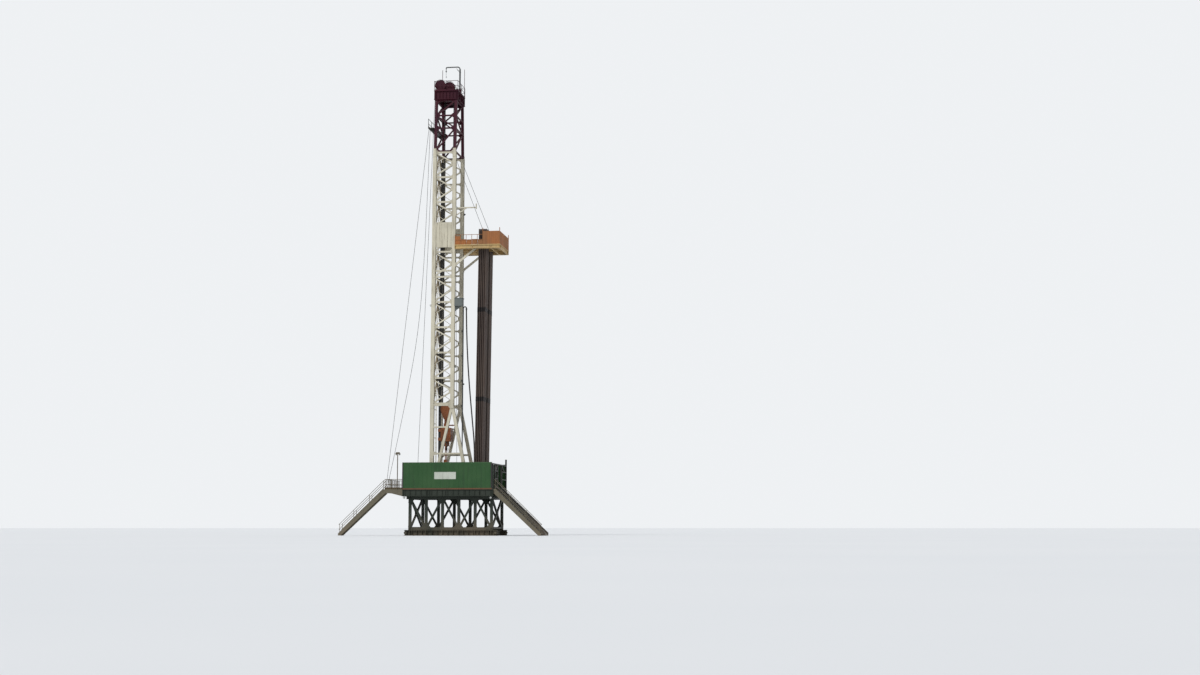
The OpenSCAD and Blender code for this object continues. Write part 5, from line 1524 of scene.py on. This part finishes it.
def driveTrim():
    bag = Bag()
    low, front, back, middle = drive["low"], drive["front"], drive["back"], drive["coverZ"]
    for side in (-1, 1):
        y = side * drive["halfY"]
        for up in stepped(*drive["fins"]):  # cooling fins of the side motors
            z = low + up
            bag.box((back + 0.05, y, z), (front - 0.05, y + side * 0.016, z + 0.010))
        heights = stepped(*drive["sideBolts"])
        places = [(x, y, low + up) for x in (back + 0.025, front - 0.025) for up in heights]
        bag.bolts(places, (0, side, 0), drive["bolt"])
    for y in drive["coverY"]:  # covers on the front face
        bag.upright(oblong(*drive["coverHalf"]), (front + 0.005, y, middle), yWay, 0.010)
        spots = [(y + dy, middle + dz) for dy in (-0.06, 0.06) for dz in (-0.11, 0, 0.11)]
        bag.bolts([(front + 0.010, *spot) for spot in spots], xWay, drive["smallBolt"])
    upper, lower = drive["ringZ"]
    bag.turned(collar(0.152, 0.172, 0.004, 0.034), (0, 0, upper), zWay, 40)
    bag.turned(collar(0.171, 0.190, 0.004, 0.030), (0, 0, lower), zWay, 40)
    nut = [(0.005, 0), (0.009, 0.001), (0.009, 0.012), (0.004, 0.014)]
    for turn in turns(drive["ringBolts"]):
        bag.bolts([flat(0.160, turn, upper + 0.034)], zWay, drive["smallBolt"])
        bag.turned(nut, flat(0.180, turn, lower - 0.001), (0, 0, -1), 6)
    bag.piece("driveTrim", "drive_orange", body="block", slot="board_orange")
    bag = Bag()
    thick, thin = drive["tiltArm"]
    for side in (-1, 1):  # ears of the links, tilt cylinders and pipework
        for (y, z), size in ((drive["linkTop"], 0.060), (drive["linkFoot"], 0.052)):
            bag.turned(collar(0.028, size, 0.005, 0.035), (-0.0175, side * y, z), xWay, 24)
        knee = (0.13, side * 0.215, 4.88)
        bag.bar((0.05, side * 0.215, 5.14), knee, thick, 12)
        bag.bar(knee, (0.055, side * 0.190, 4.62), thin, 10)
        bag.tube(smoothed([(x, side * y, z) for x, y, z in drive["pipeline"]], 5), 0.009, 8)
        bag.bar((0.09, side * 0.08, 4.155), (0.09, side * 0.16, 4.155), 0.016, 10)
    bag.turned(collar(0.062, 0.078, 0.005, 0.095), (0, 0, 4.70), zWay, 24)
    for x in drive["neckCollars"]:  # on the hose's gooseneck
        bag.turned(collar(0.034, 0.052, 0.003, 0.023), (x, 0, 6.046), xWay, 24)
    bag.piece("drivePipework", "worn_steel", body="block", smooth=True)


def blockTrim():
    bag = Bag()
    zs = drive["sheaveZ"]
    for side in (-1, 1):
        y, out = side * drive["blockHalf"], (0, side, 0)
        angles = [math.radians(angle) for angle in stepped(*drive["cheekBolts"])]
        bag.bolts([wheel(0, y, zs, drive["cheekRadius"], turn) for turn in angles], out, drive["bolt"])
        for z in stepped(*drive["edgeBolts"]):
            half = 0.115 + (z - 6.47) * 0.30  # the cheek widens upwards
            bag.bolts([(-half, y, z), (half, y, z)], out, 0.009)
        for z, size in ((zs, 0.085), (6.4703, 0.070)):
            bag.turned([(size, 0), (size, 0.008), (size * 0.7, 0.014)], (0, y, z), out, 28)
        bag.upright(tapered(0.14, 0.10, 0.10), (0, y + side * 0.004, 6.62), xWay, 0.008)
    for angle in stepped(*drive["guards"]):  # guards over the sheaves' lower edge
        turn = math.radians(angle)
        bag.tube([wheel(0, y, zs, drive["guardRadius"], turn) for y in (-0.19, 0.19)], 0.008, 8)
    bag.piece("blockTrim", "drive_orange", body="block", slot="board_orange")


driveTrim()
blockTrim()
print("top drive and block dressed")


# pale floor and backdrop, one broad soft sun and an even sky

stageLook = {
    "sun": 1.9, "softness": 24.0, "sunFrom": (-0.32, -0.78, 0.9), "sky": 0.66,
    "radius": 900, "corners": 64, "below": -0.004, "skyTint": (0.93, 0.96, 1.0, 1.0),
    "backdrop": (0.86, 0.88, 0.90, 1.0),
}


def setStage():
    bag = Bag()
    edge = [flat(stageLook["radius"], turn, stageLook["below"]) for turn in turns(stageLook["corners"])]
    bag.add(edge, [tuple(range(stageLook["corners"]))])
    floor = bag.piece("stageFloor", "stage_floor", body=None)
    del floor["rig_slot"]
    lamp = bpy.data.lights.new("softSun", "SUN")
    lamp.energy, lamp.angle = stageLook["sun"], math.radians(stageLook["softness"])
    sun = bpy.data.objects.new("softSun", lamp)
    sun.rotation_euler = Vector(stageLook["sunFrom"]).to_track_quat("Z", "Y").to_euler()
    bpy.context.scene.collection.objects.link(sun)
    world = bpy.data.worlds.new("paleSky")
    bpy.context.scene.world = world
    world.use_nodes = True
    world.node_tree.nodes.clear()
    start = Wire(world.node_tree)
    seen, glossy, through = [start.node("LightPath", {}, {}, output) for output in (0, 3, 6)]
    backdrop = (seen + glossy + through).between(0.0, 1.0)
    light = start.node("Background", {}, {"Color": stageLook["skyTint"], "Strength": stageLook["sky"]})
    pale = start.node("Background", {}, {"Color": stageLook["backdrop"], "Strength": 1.0})
    both = start.node("MixShader", {}, {0: backdrop, 1: light, 2: pale})
    start.node("OutputWorld", {}, {"Surface": both})


setStage()
print("stage set")
